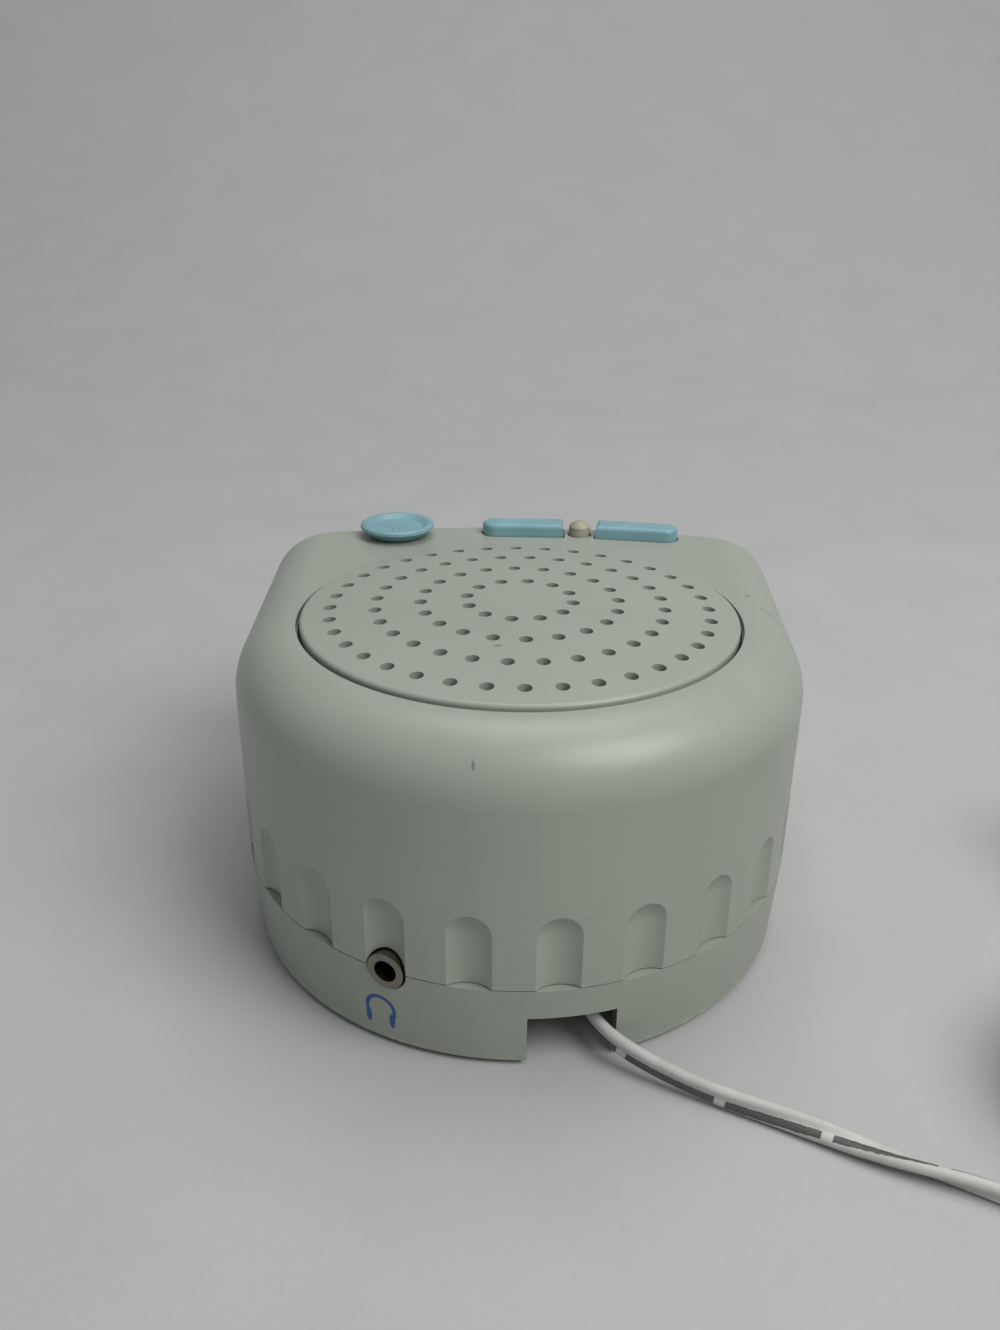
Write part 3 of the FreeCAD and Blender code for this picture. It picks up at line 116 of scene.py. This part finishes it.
def coil_points(start, toward, side):
    """Points of the wound cord: half turns that spiral in and out again in four layers."""
    stops = [(step, 0) for step in STEPS_IN]
    stops += [(step, 1) for step in reversed(STEPS_IN)]
    stops += [(step, 2) for step in STEPS_IN]
    stops += [(step, 3) for step in reversed(STEPS_IN)]
    middle = start + side * COIL_OUTER
    # A spline passes inside its points, so the points stand a little outside the turns
    outside = 1 / math.cos(math.pi / POINTS_PER_HALF / 2)
    points, here, sign = [], start, 1
    for step, layer in stops:
        sign = -sign
        there = middle - side * (sign * (COIL_OUTER - step * TURN_PITCH / 2))
        there.z = start.z + layer * LAYER_RISE
        centre, radius = (here + there) / 2, (there - here).length / 2
        first = (here - centre).normalized()
        for i in range(1, POINTS_PER_HALF + 1):
            angle = math.pi * (i - 0.5) / POINTS_PER_HALF
            across = first * math.cos(angle) - toward * (sign * math.sin(angle))
            point = centre + across * (radius * outside)
            point.z = here.z + (there.z - here.z) * (i - 0.5) / POINTS_PER_HALF
            points.append(point)
        here = there
    # Half of one more such turn leaves the top of the coil towards the adapter
    centre = middle + side * (TURN_PITCH / 4)
    centre.z = here.z
    radius = COIL_OUTER - TURN_PITCH / 2 + TURN_PITCH / 4
    for i in range(1, POINTS_PER_HALF // 2 + 1):
        angle = math.pi * (i - 0.5) / POINTS_PER_HALF
        across = toward * math.sin(angle) - side * math.cos(angle)
        points.append(centre + across * (radius * outside))
    return points, centre + toward * radius, side


coil_toward = (SEEN_RUN[-1] - SEEN_RUN[-2]).normalized()
coil_side = Vector((-coil_toward.y, coil_toward.x, 0))
coil_start = SEEN_RUN[-1] + coil_toward * CORD_WIDTH
turns, coil_end, heading = coil_points(coil_start, coil_toward, coil_side)
ENTRY_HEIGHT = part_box("adapter_relief")[0].z / 2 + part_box("adapter_relief")[1].z / 2
tail = [
    coil_end,
    coil_end + heading * (7.0 * MM),
    coil_end + heading * (15.5 * MM) - coil_toward * (2.2 * MM),
    coil_end + heading * (23.5 * MM) - coil_toward * (6.4 * MM),
]
tail[2].z = tail[3].z = ENTRY_HEIGHT
route = SEEN_RUN + turns + tail

cord_curve = bpy.data.curves.new("cord_line", "CURVE")
cord_curve.dimensions = "3D"
cord_curve.resolution_u = PIECES_PER_POINT
spline = cord_curve.splines.new("NURBS")
spline.points.add(len(route) - 1)
for spot, point in zip(spline.points, route):
    spot.co = (*point, 1)
spline.order_u = SPLINE_ORDER
spline.use_endpoint_u = True
bare = bpy.data.objects.new("cord_line", cord_curve)
line_mesh = bpy.data.meshes.new_from_object(bare)
line = [v.co.copy() for v in line_mesh.vertices]
cord_length = sum((b - a).length for a, b in zip(line, line[1:]))
bpy.data.objects.remove(bare)
print("cord: %d points give a line of %.3f m" % (len(route), cord_length))

# %% [markdown]
# ## Cord: the twin lead
# Two insulated wires lie side by side in one soft white sleeve, with a groove between them, and a
# row of dark dashes marks one wire. A round bevel can't show that, so the outline of two joined
# circles is carried along the line by hand. The outline stands on edge on the table, as in the
# photograph, and takes a slow half turn where the marked wire passes over to the far side.

# %% Cord mesh
WIRE_RADIUS = 0.86 * MM
WIRE_APART = 0.74 * MM
OUTLINE_STEPS = 9
EDGE_TILT = math.radians(92)
TWIST_FROM = 30 * MM
TWIST_TO = 80 * MM


def twin_outline():
    """The outline of two joined wires, as (across, up)."""
    meet = math.acos(WIRE_APART / WIRE_RADIUS)
    points = []
    for side in (1, -1):
        for i in range(OUTLINE_STEPS):
            t = -math.pi + meet + (2 * math.pi - 2 * meet) * (i + 0.5) / OUTLINE_STEPS
            across = WIRE_APART + WIRE_RADIUS * math.cos(t)
            points.append((side * across, side * WIRE_RADIUS * math.sin(t)))
    return points


def twist_at(travelled):
    """How far the outline is turned about the line, in radians, at a distance along the cord."""
    into = min(max((travelled - TWIST_FROM) / (TWIST_TO - TWIST_FROM), 0), 1)
    return EDGE_TILT + math.pi * into * into * (3 - 2 * into)


outline = twin_outline()
cord_mesh = bpy.data.meshes.new("cord")
bm = bmesh.new()
uv_layer = bm.loops.layers.uv.new("along")
rings, travelled, marks = [], 0.0, []
for index, centre in enumerate(line):
    before, after = line[max(index - 1, 0)], line[min(index + 1, len(line) - 1)]
    forward = (after - before).normalized()
    side = forward.cross(Vector((0, 0, 1))).normalized()
    up = side.cross(forward)
    if index:
        travelled += (centre - line[index - 1]).length
    turn = twist_at(travelled)
    long_way = side * math.cos(turn) + up * math.sin(turn)
    short_way = up * math.cos(turn) - side * math.sin(turn)
    rings.append([bm.verts.new(centre + long_way * a + short_way * b) for a, b in outline])
    marks.append(travelled)
count = len(outline)
for k in range(len(rings) - 1):
    for i in range(count):
        j = (i + 1) % count
        face = bm.faces.new((rings[k][i], rings[k][j], rings[k + 1][j], rings[k + 1][i]))
        face.smooth = True
        for loop, (u, v) in zip(face.loops, ((k, i), (k, i + 1), (k + 1, i + 1), (k + 1, i))):
            loop[uv_layer].uv = (marks[u], v / count)
bm.faces.new(rings[0])
bm.faces.new(rings[-1][::-1])
bmesh.ops.recalc_face_normals(bm, faces=bm.faces)
bm.to_mesh(cord_mesh)
bm.free()
cord = bpy.data.objects.new("cord", cord_mesh)
bpy.context.scene.collection.objects.link(cord)
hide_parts("cord_run", "cord_coil", "cord_tail")
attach(cord, "machine")
print("cord mesh:", len(cord_mesh.polygons), "faces")

# %% [markdown]
# ## Cord: where it leaves
# The drawn mesh says nothing about how the cord behaves. Here only the point where it leaves is
# printed.

print("cord leaves at", [round(x, 4) for x in CORD_EXIT])

# %% [markdown]
# ## Finishes
# Each finish is a small tree of nodes that reads the piece's own coordinates, in metres. The
# first helpers add a node with its settings and join two sockets, and the others build on them.
# Image textures could do the same, but nodes stay sharp close up and need no unwrapping.

# %% Node helpers


def new_finish(name, colour, roughness, metallic=0.0, specular=0.5):
    """A material with its shader, its constant sockets set on the shader itself."""
    material = bpy.data.materials.new(name)
    material.use_nodes = True
    shader = material.node_tree.nodes["Principled BSDF"]
    shader.inputs["Base Color"].default_value = (*colour, 1)
    shader.inputs["Roughness"].default_value = roughness
    shader.inputs["Metallic"].default_value = metallic
    shader.inputs["Specular IOR Level"].default_value = specular
    return material


def node(material, kind, **settings):
    """Adds a node. Settings that match an input set it, and the others are attributes."""
    made = material.node_tree.nodes.new("ShaderNode" + kind)
    for name, value in settings.items():
        label = name.replace("_", " ").title()
        if label in made.inputs:
            made.inputs[label].default_value = value
        else:
            setattr(made, name, value)
    return made


def join(material, start, end):
    material.node_tree.links.new(start, end)


def place_of(material):
    """The piece's own coordinates."""
    return node(material, "TexCoord").outputs["Object"]


def speckle(material, size, detail=3.0, roughness=0.55):
    """Soft noise whose blobs are about size metres wide."""
    noise = node(material, "TexNoise", scale=1 / size, detail=detail, roughness=roughness)
    join(material, place_of(material), noise.inputs["Vector"])
    return noise.outputs["Fac"]


def spread(material, value, low, high, to_low, to_high):
    """Maps a value's range onto another, clamped."""
    ranged = node(material, "MapRange")
    join(material, value, ranged.inputs["Value"])
    for name, number in (("From Min", low), ("From Max", high), ("To Min", to_low), ("To Max", to_high)):
        ranged.inputs[name].default_value = number
    return ranged.outputs["Result"]


def maths(material, operation, a, b=0.0):
    made = node(material, "Math", operation=operation)
    for socket, value in zip(made.inputs, (a, b)):
        if isinstance(value, (int, float)):
            socket.default_value = value
        else:
            join(material, value, socket)
    return made.outputs[0]


def mixed(material, share, first, second):
    """A colour between two, each a tuple or a socket."""
    made = node(material, "Mix", data_type="RGBA")
    for name, value in (("Factor", share), ("A", first), ("B", second)):
        socket = [s for s in made.inputs if s.name == name and s.enabled][0]
        if isinstance(value, tuple):
            socket.default_value = (*value, 1)
        elif isinstance(value, (int, float)):
            socket.default_value = value
        else:
            join(material, value, socket)
    return [s for s in made.outputs if s.enabled][0]


def raised(material, height, strength, distance):
    """Sends a height to the shader's normal."""
    bump = node(material, "Bump", strength=strength, distance=distance)
    join(material, height, bump.inputs["Height"])
    join(material, bump.outputs["Normal"], material.node_tree.nodes["Principled BSDF"].inputs["Normal"])


def into(material, value, name):
    join(material, value, material.node_tree.nodes["Principled BSDF"].inputs[name])


CLOUD_IN_GRAINS = 12
GLOSS_CHANGE = 0.12
BUMP_IN_GRAINS = 0.4


def shaded(colour, share):
    """The colour made darker or lighter by a share."""
    return tuple(min(1, c * share) for c in colour)


def plain_finish(name, colour, roughness, grain, bump, shade=0.85, metallic=0.0):
    """A finish with slight changes of colour, gloss and height, for small and inner parts."""
    made = new_finish(name, colour, roughness, metallic)
    cloud = speckle(made, grain * CLOUD_IN_GRAINS)
    fine = speckle(made, grain)
    shading = spread(made, cloud, 0.35, 0.65, 0, 1)
    into(made, mixed(made, shading, shaded(colour, shade), colour), "Base Color")
    smooth, matte = roughness * (1 - GLOSS_CHANGE), min(1, roughness * (1 + GLOSS_CHANGE))
    into(made, spread(made, cloud, 0.3, 0.7, smooth, matte), "Roughness")
    raised(made, fine, bump, grain * BUMP_IN_GRAINS)
    return made


# %% [markdown]
# ## Marks held in place
# A mark belongs to a spot on the piece, so it is a distance from a point or from a short line in
# the piece's own coordinates. The helpers below give 1 inside the mark and fall to 0 at its edge.

# %% Mark helpers
def vector_maths(material, operation, *values):
    made = node(material, "VectorMath", operation=operation)
    for socket, value in zip(made.inputs, values):
        if isinstance(value, (tuple, Vector)):
            socket.default_value = tuple(value)
        else:
            join(material, value, socket)
    return made.outputs["Value" if operation in ("DOT_PRODUCT", "LENGTH") else "Vector"]


def near_line(material, start, end, radius, soft):
    """1 near the line from start to end, in millimetres, 0 from radius on."""
    start, end = Vector(start) * MM, Vector(end) * MM
    run = end - start
    away = vector_maths(material, "SUBTRACT", place_of(material), start)
    share = maths(material, "DIVIDE", vector_maths(material, "DOT_PRODUCT", away, run), run.length_squared)
    share = spread(material, share, 0, 1, 0, 1)
    scaled = node(material, "VectorMath", operation="SCALE")
    scaled.inputs[0].default_value = tuple(run)
    join(material, share, scaled.inputs["Scale"])
    gap = vector_maths(material, "SUBTRACT", away, scaled.outputs["Vector"])
    distance = vector_maths(material, "LENGTH", gap)
    return spread(material, distance, radius * MM * (1 - soft), radius * MM, 1, 0)


def together(material, masks):
    """The strongest of several masks."""
    result = masks[0]
    for mask in masks[1:]:
        result = maths(material, "MAXIMUM", result, mask)
    return result


def height_band(material, middle, half, soft):
    """1 at a height in millimetres, 0 beyond half of it away."""
    apart = node(material, "SeparateXYZ")
    join(material, place_of(material), apart.inputs[0])
    off = maths(material, "ABSOLUTE", maths(material, "SUBTRACT", apart.outputs["Z"], middle * MM))
    return spread(material, off, half * MM * (1 - soft), half * MM, 1, 0)


def worn_by(material, mask, grain, amount):
    """Breaks a mask up with noise, so that wear looks uneven."""
    rough = spread(material, speckle(material, grain, detail=5, roughness=0.7), 0.5, 0.62, 0, amount)
    return maths(material, "MULTIPLY", mask, rough)


# %% [markdown]
# ## Housing plastic
# The case is moulded in a pale grey green plastic with a satin skin. Under a low light such a
# skin shows a fine spark texture, broad clouds where hands have polished it, and a few marks from
# use: a scuff on the shoulder, a short scratch behind the grille, and faint smudges lower down.
# The third smudge and the pale rubbing along the seam and the base's foot weren't found in the
# photograph. They are guesses at more of the same wear.

# %% Housing plastic
HOUSING_COLOUR = (0.325, 0.350, 0.292)
MARK_COLOUR = (0.16, 0.165, 0.145)
SEAM_HEIGHT = 14.7
SCUFFS = (
    ((-39.53, -2.24, 50.87), (-42.79, 0.0, 48.55), 0.42),
    ((-37.91, -6.69, 51.21), (-37.7, -6.9, 51.3), 0.45),
    ((5.7, 46.2, 50.5), (5.7, 47.3, 49.7), 0.3),
    ((2.77, 21.71, 55.2), (3.3, 21.9, 55.2), 0.4),
)
SMUDGES = (
    ((-12.42, 47.44, 30.63), (-9.5, 48.2, 27.0), 3.2),
    ((-36.19, 30.95, 26.58), (-38.0, 28.5, 22.0), 2.8),
    ((27.0, 38.0, 36.0), (24.0, 40.5, 33.0), 2.6),
)

CLOUD_SIZE, SKIN_GRAIN = 0.03, 0.0007
SKIN_BUMP, SKIN_DEPTH = 0.10, 0.00012
WORN = shaded(HOUSING_COLOUR, 0.93)
RUBBED = shaded(HOUSING_COLOUR, 1.22)
SMUDGED = shaded(HOUSING_COLOUR, 0.90)


def case_plastic(name, roughness, specular):
    """The case's plastic: the material, its clouds, its skin and its clouded colour."""
    made = new_finish(name, HOUSING_COLOUR, roughness, specular=specular)
    clouds = speckle(made, CLOUD_SIZE, detail=4)
    skin = speckle(made, SKIN_GRAIN, detail=2)
    colour = mixed(made, spread(made, clouds, 0.35, 0.7, 0, 1), WORN, HOUSING_COLOUR)
    return made, clouds, skin, colour


housing, clouds, skin, body = case_plastic("housing_plastic", 0.38, 0.5)
smudges = together(housing, [near_line(housing, *mark, 0.9) for mark in SMUDGES])
body = mixed(housing, worn_by(housing, smudges, 0.002, 0.8), body, SMUDGED)
edge = worn_by(housing, height_band(housing, SEAM_HEIGHT, 0.7, 0.6), 0.003, 0.7)
body = mixed(housing, edge, body, RUBBED)
scuffs = together(housing, [near_line(housing, *mark, 0.5) for mark in SCUFFS])
scuffs = maths(housing, "MULTIPLY", scuffs, spread(housing, skin, 0.35, 0.5, 0.35, 0.95))
into(housing, mixed(housing, scuffs, body, MARK_COLOUR), "Base Color")
gloss = spread(housing, clouds, 0.3, 0.7, 0.32, 0.42)
into(housing, maths(housing, "ADD", gloss, maths(housing, "MULTIPLY", scuffs, 0.25)), "Roughness")
height = maths(housing, "SUBTRACT", skin, maths(housing, "MULTIPLY", scuffs, 3.0))
raised(housing, height, SKIN_BUMP, SKIN_DEPTH)
print("housing plastic:", len(housing.node_tree.nodes), "nodes")

# %% [markdown]
# ## The printed sign by the headphone socket
# The base carries a small blue sign of headphones under the socket: a bow, open below, with a pad
# at each end. It is printed flat, so it is drawn in the finish. The base is round there, so the
# sign's own coordinates are the length along the round wall and the height.

# %% Base plastic with its sign
SIGN_BLUE = (0.020, 0.075, 0.235)
SIGN_WALL = 44.4
SIGN_MIDDLE = 20.15
BOW_HEIGHT = 6.45
BOW_RADIUS = 2.3
BOW_STROKE = 0.36
PADS = ((22.30, 4.55), (18.30, 4.70))
PAD_HALF_WIDE, PAD_HALF_TALL = 0.30, 0.85
BOW_TALLER = 1.06
BOW_OPENS = (5.1, 5.3)
BACK_FROM = (20, 21)
FOOT_EDGE = 1.2
GRILLE_CENTRE = Vector((0.0, 4.2, 0.0)) * MM

base, clouds, skin, body = case_plastic("base_plastic", 0.42, 0.45)
from_centre = vector_maths(base, "SUBTRACT", place_of(base), GRILLE_CENTRE)
apart = node(base, "SeparateXYZ")
join(base, from_centre, apart.inputs[0])
wall_angle = maths(base, "ARCTAN2", apart.outputs["X"], apart.outputs["Y"])
along_wall = maths(base, "MULTIPLY", wall_angle, SIGN_WALL * MM)
up_wall = apart.outputs["Z"]


def sign_distance(middle, height, tall):
    """Distance on the wall from a point of the sign, with heights divided by tall."""
    across = maths(base, "SUBTRACT", along_wall, middle * MM)
    lift = maths(base, "DIVIDE", maths(base, "SUBTRACT", up_wall, height * MM), tall)
    squares = [maths(base, "MULTIPLY", way, way) for way in (across, lift)]
    return maths(base, "SQRT", maths(base, "ADD", *squares))


def pad(middle, height):
    """One ear pad, taller than it is wide."""
    distance = sign_distance(middle, height, PAD_HALF_TALL / PAD_HALF_WIDE)
    return spread(base, distance, PAD_HALF_WIDE * 1.5 * MM, PAD_HALF_WIDE * 1.8 * MM, 1, 0)


def above(value, limits):
    """0 under the first of two limits in millimetres, 1 over the second."""
    return spread(base, value, limits[0] * MM, limits[1] * MM, 0, 1)


bow_distance = sign_distance(SIGN_MIDDLE, BOW_HEIGHT, BOW_TALLER)
ring = maths(base, "SUBTRACT", bow_distance, BOW_RADIUS * MM)
bow = spread(base, maths(base, "ABSOLUTE", ring), BOW_STROKE * 0.8 * MM, BOW_STROKE * MM, 1, 0)
bow = maths(base, "MULTIPLY", bow, above(up_wall, BOW_OPENS))
sign = together(base, [bow] + [pad(*place) for place in PADS])
sign = maths(base, "MULTIPLY", sign, above(apart.outputs["Y"], BACK_FROM))
edge = worn_by(base, height_band(base, FOOT_EDGE, 1.1, 0.7), 0.003, 0.7)
body = mixed(base, edge, body, RUBBED)
patchy = spread(base, speckle(base, 0.0003, detail=2), 0.25, 0.4, 0.75, 1)
into(base, mixed(base, maths(base, "MULTIPLY", sign, patchy), body, SIGN_BLUE), "Base Color")
into(base, spread(base, clouds, 0.3, 0.7, 0.38, 0.5), "Roughness")
raised(base, maths(base, "ADD", skin, maths(base, "MULTIPLY", sign, 0.6)), SKIN_BUMP, SKIN_DEPTH)
print("base plastic:", len(base.node_tree.nodes), "nodes")

# %% [markdown]
# ## The cord's sleeve
# The sleeve is soft off-white plastic. A dark stripe, broken by short gaps, runs along one wire.
# The cord mesh carries the distance along it and the way round it, so the stripe is drawn there.

# %% Cord sleeve
SLEEVE_COLOUR = (0.53, 0.52, 0.49)
STRIPE_COLOUR = (0.055, 0.054, 0.05)
STRIPE_ROUND, STRIPE_HALF, STRIPE_SOFT = 0.885, 0.078, 0.012
STRIPE_INK = 0.93
DASH_PITCH, DASH_GAP, GAP_AT = 15.0 * MM, 1.6 * MM, 34.85 * MM
PITCHES_BEFORE = 10

sleeve = new_finish("cord_sleeve", SLEEVE_COLOUR, 0.5, specular=0.4)
way = node(sleeve, "UVMap", uv_map="along")
parts = node(sleeve, "SeparateXYZ")
join(sleeve, way.outputs["UV"], parts.inputs[0])
grime = speckle(sleeve, 0.004, detail=4)
across = maths(sleeve, "ABSOLUTE", maths(sleeve, "SUBTRACT", parts.outputs["Y"], STRIPE_ROUND))
ragged = maths(sleeve, "ADD", across, spread(sleeve, speckle(sleeve, 0.0009), 0.3, 0.7, -0.01, 0.01))
stripe = spread(sleeve, ragged, STRIPE_HALF - STRIPE_SOFT, STRIPE_HALF, 1, 0)
# Counted from a gap far before the cord's start, so that the remainder is never negative
from_gap = maths(sleeve, "SUBTRACT", parts.outputs["X"], GAP_AT - DASH_PITCH * PITCHES_BEFORE)
phase = maths(sleeve, "MODULO", from_gap, DASH_PITCH)
nearest = maths(sleeve, "MINIMUM", phase, maths(sleeve, "SUBTRACT", DASH_PITCH, phase))
dash = spread(sleeve, nearest, DASH_GAP * 0.45, DASH_GAP * 0.55, 0, 1)
stripe = maths(sleeve, "MULTIPLY", maths(sleeve, "MULTIPLY", stripe, dash), STRIPE_INK)
soiled = shaded(SLEEVE_COLOUR, 0.86)
cover = mixed(sleeve, spread(sleeve, grime, 0.4, 0.7, 0, 1), SLEEVE_COLOUR, soiled)
into(sleeve, mixed(sleeve, stripe, cover, STRIPE_COLOUR), "Base Color")
into(sleeve, spread(sleeve, grime, 0.3, 0.7, 0.42, 0.58), "Roughness")
raised(sleeve, speckle(sleeve, 0.0006), 0.15, 0.0001)
print("cord sleeve:", len(sleeve.node_tree.nodes), "nodes")

# %% [markdown]
# ## The other finishes
# The buttons, the knob and the inner parts are small in the picture or hidden, so one helper makes
# them all: a colour with slight clouds, a change of gloss and a fine grain.

# %% Other finishes
finishes = {
    "housing": housing,
    "blue_plastic": plain_finish("blue_plastic", (0.20, 0.37, 0.41), 0.4, 0.0008, 0.12),
    "cream_plastic": plain_finish("cream_plastic", (0.385, 0.36, 0.268), 0.45, 0.0008, 0.12),
    "black_cloth": plain_finish("black_cloth", (0.012, 0.012, 0.012), 0.95, 0.0004, 0.6),
    "steel": plain_finish("steel", (0.55, 0.55, 0.54), 0.35, 0.0005, 0.1, metallic=1.0),
    "ferrite": plain_finish("ferrite", (0.03, 0.03, 0.032), 0.7, 0.0005, 0.3),
    "paper_cone": plain_finish("paper_cone", (0.02, 0.02, 0.02), 0.9, 0.0006, 0.4),
    "foam": plain_finish("foam", (0.018, 0.018, 0.018), 0.95, 0.0003, 0.6),
    "copper": plain_finish("copper", (0.70, 0.33, 0.15), 0.3, 0.0003, 0.2, metallic=1.0),
    "circuit_board": plain_finish("circuit_board", (0.02, 0.15, 0.06), 0.4, 0.0006, 0.15),
    "black_plastic": plain_finish("black_plastic", (0.02, 0.02, 0.021), 0.5, 0.0006, 0.2),
    "plated_sleeve": plain_finish("plated_sleeve", (0.27, 0.25, 0.205), 0.30, 0.0005, 0.25, metallic=1.0),
    "brass_plated": plain_finish("brass_plated", (0.72, 0.58, 0.30), 0.28, 0.0005, 0.15, metallic=1.0),
    "cord_grey": plain_finish("cord_grey", SLEEVE_COLOUR, 0.5, 0.0008, 0.2),
    "red_lead": plain_finish("red_lead", (0.45, 0.02, 0.02), 0.45, 0.0006, 0.15),
    "foot_rubber": plain_finish("foot_rubber", (0.03, 0.03, 0.03), 0.8, 0.0005, 0.4),
}
print(len(finishes), "finishes")

# %% Finish the CAD parts
for name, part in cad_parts.items():
    for slot in part.material_slots:
        kind = slot.material.name.split(".")[0] if slot.material else ""
        if name == "base_tray":
            slot.material = base
        elif kind in finishes:
            slot.material = finishes[kind]
        else:
            print("no finish for", name, kind)
cord.data.materials.append(sleeve)
print("finished", len(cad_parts), "nodes and the cord")

# %% [markdown]
# ## Floor and light
# The machine stands on a pale sheet that rises behind it. One mesh, swept up in a gentle curve,
# gives that without a line where the floor ends.

# %% Floor
FLOOR_COLOUR = (0.44, 0.436, 0.432)
bpy.ops.object.select_all(action="DESELECT")
bpy.ops.mesh.primitive_grid_add(x_subdivisions=2, y_subdivisions=48, size=1)
floor = bpy.context.object
floor.name = "floor"
BEND_FROM, BEND_RADIUS, FLOOR_NEAR = -0.26, 0.5, 1.2
SHEET_LONG, SHEET_WIDE = 2.6, 3.0
for vertex in floor.data.vertices:
    along = (0.5 - vertex.co.y) * SHEET_LONG
    arc = max(0.0, along - (FLOOR_NEAR - BEND_FROM))
    if arc == 0:
        y, z = FLOOR_NEAR - along, 0.0
    else:
        angle = min(arc / BEND_RADIUS, math.pi / 2)
        y = BEND_FROM - BEND_RADIUS * math.sin(angle)
        z = BEND_RADIUS * (1 - math.cos(angle)) + max(0.0, arc - BEND_RADIUS * math.pi / 2)
    vertex.co = (vertex.co.x * SHEET_WIDE, y, z)
for polygon in floor.data.polygons:
    polygon.use_smooth = True
sheet = plain_finish("pale_sheet", FLOOR_COLOUR, 0.9, 0.002, 0.1, shade=0.96)
floor.data.materials.append(sheet)
print("floor:", len(floor.data.polygons), "faces")

# %% [markdown]
# ## Lights
# The photograph has soft light and one broad highlight on the shoulder. A round light on the right
# of the picture and one above the knob make it, and the room's own light fills the shadows.

# %% Lights
def area_light(name, place, aim, size, power):
    """A round soft light that looks at aim."""
    light = bpy.data.objects.new(name, bpy.data.lights.new(name, "AREA"))
    bpy.context.scene.collection.objects.link(light)
    light.data.shape = "DISK"
    light.data.size = size
    light.data.energy = power
    way = (Vector(aim) - Vector(place)).normalized()
    light.matrix_world = Matrix.Translation(Vector(place)) @ turned_to(way, Vector((0, 0, 1)))


ROOM_COLOUR, ROOM_LEVEL = (0.9, 0.95, 1.0), 0.33
area_light("key_light", (-0.40, 0.31, 0.61), (-0.02, 0.03, 0.03), 0.5, 4.0)
area_light("top_light", (-0.05, -0.25, 0.85), (0, -0.05, 0.03), 0.6, 2.5)
world = bpy.data.worlds.new("room")
bpy.context.scene.world = world
world.use_nodes = True
background = world.node_tree.nodes["Background"]
background.inputs["Color"].default_value = (*ROOM_COLOUR, 1)
background.inputs["Strength"].default_value = ROOM_LEVEL
print("lights: key, top and the room")
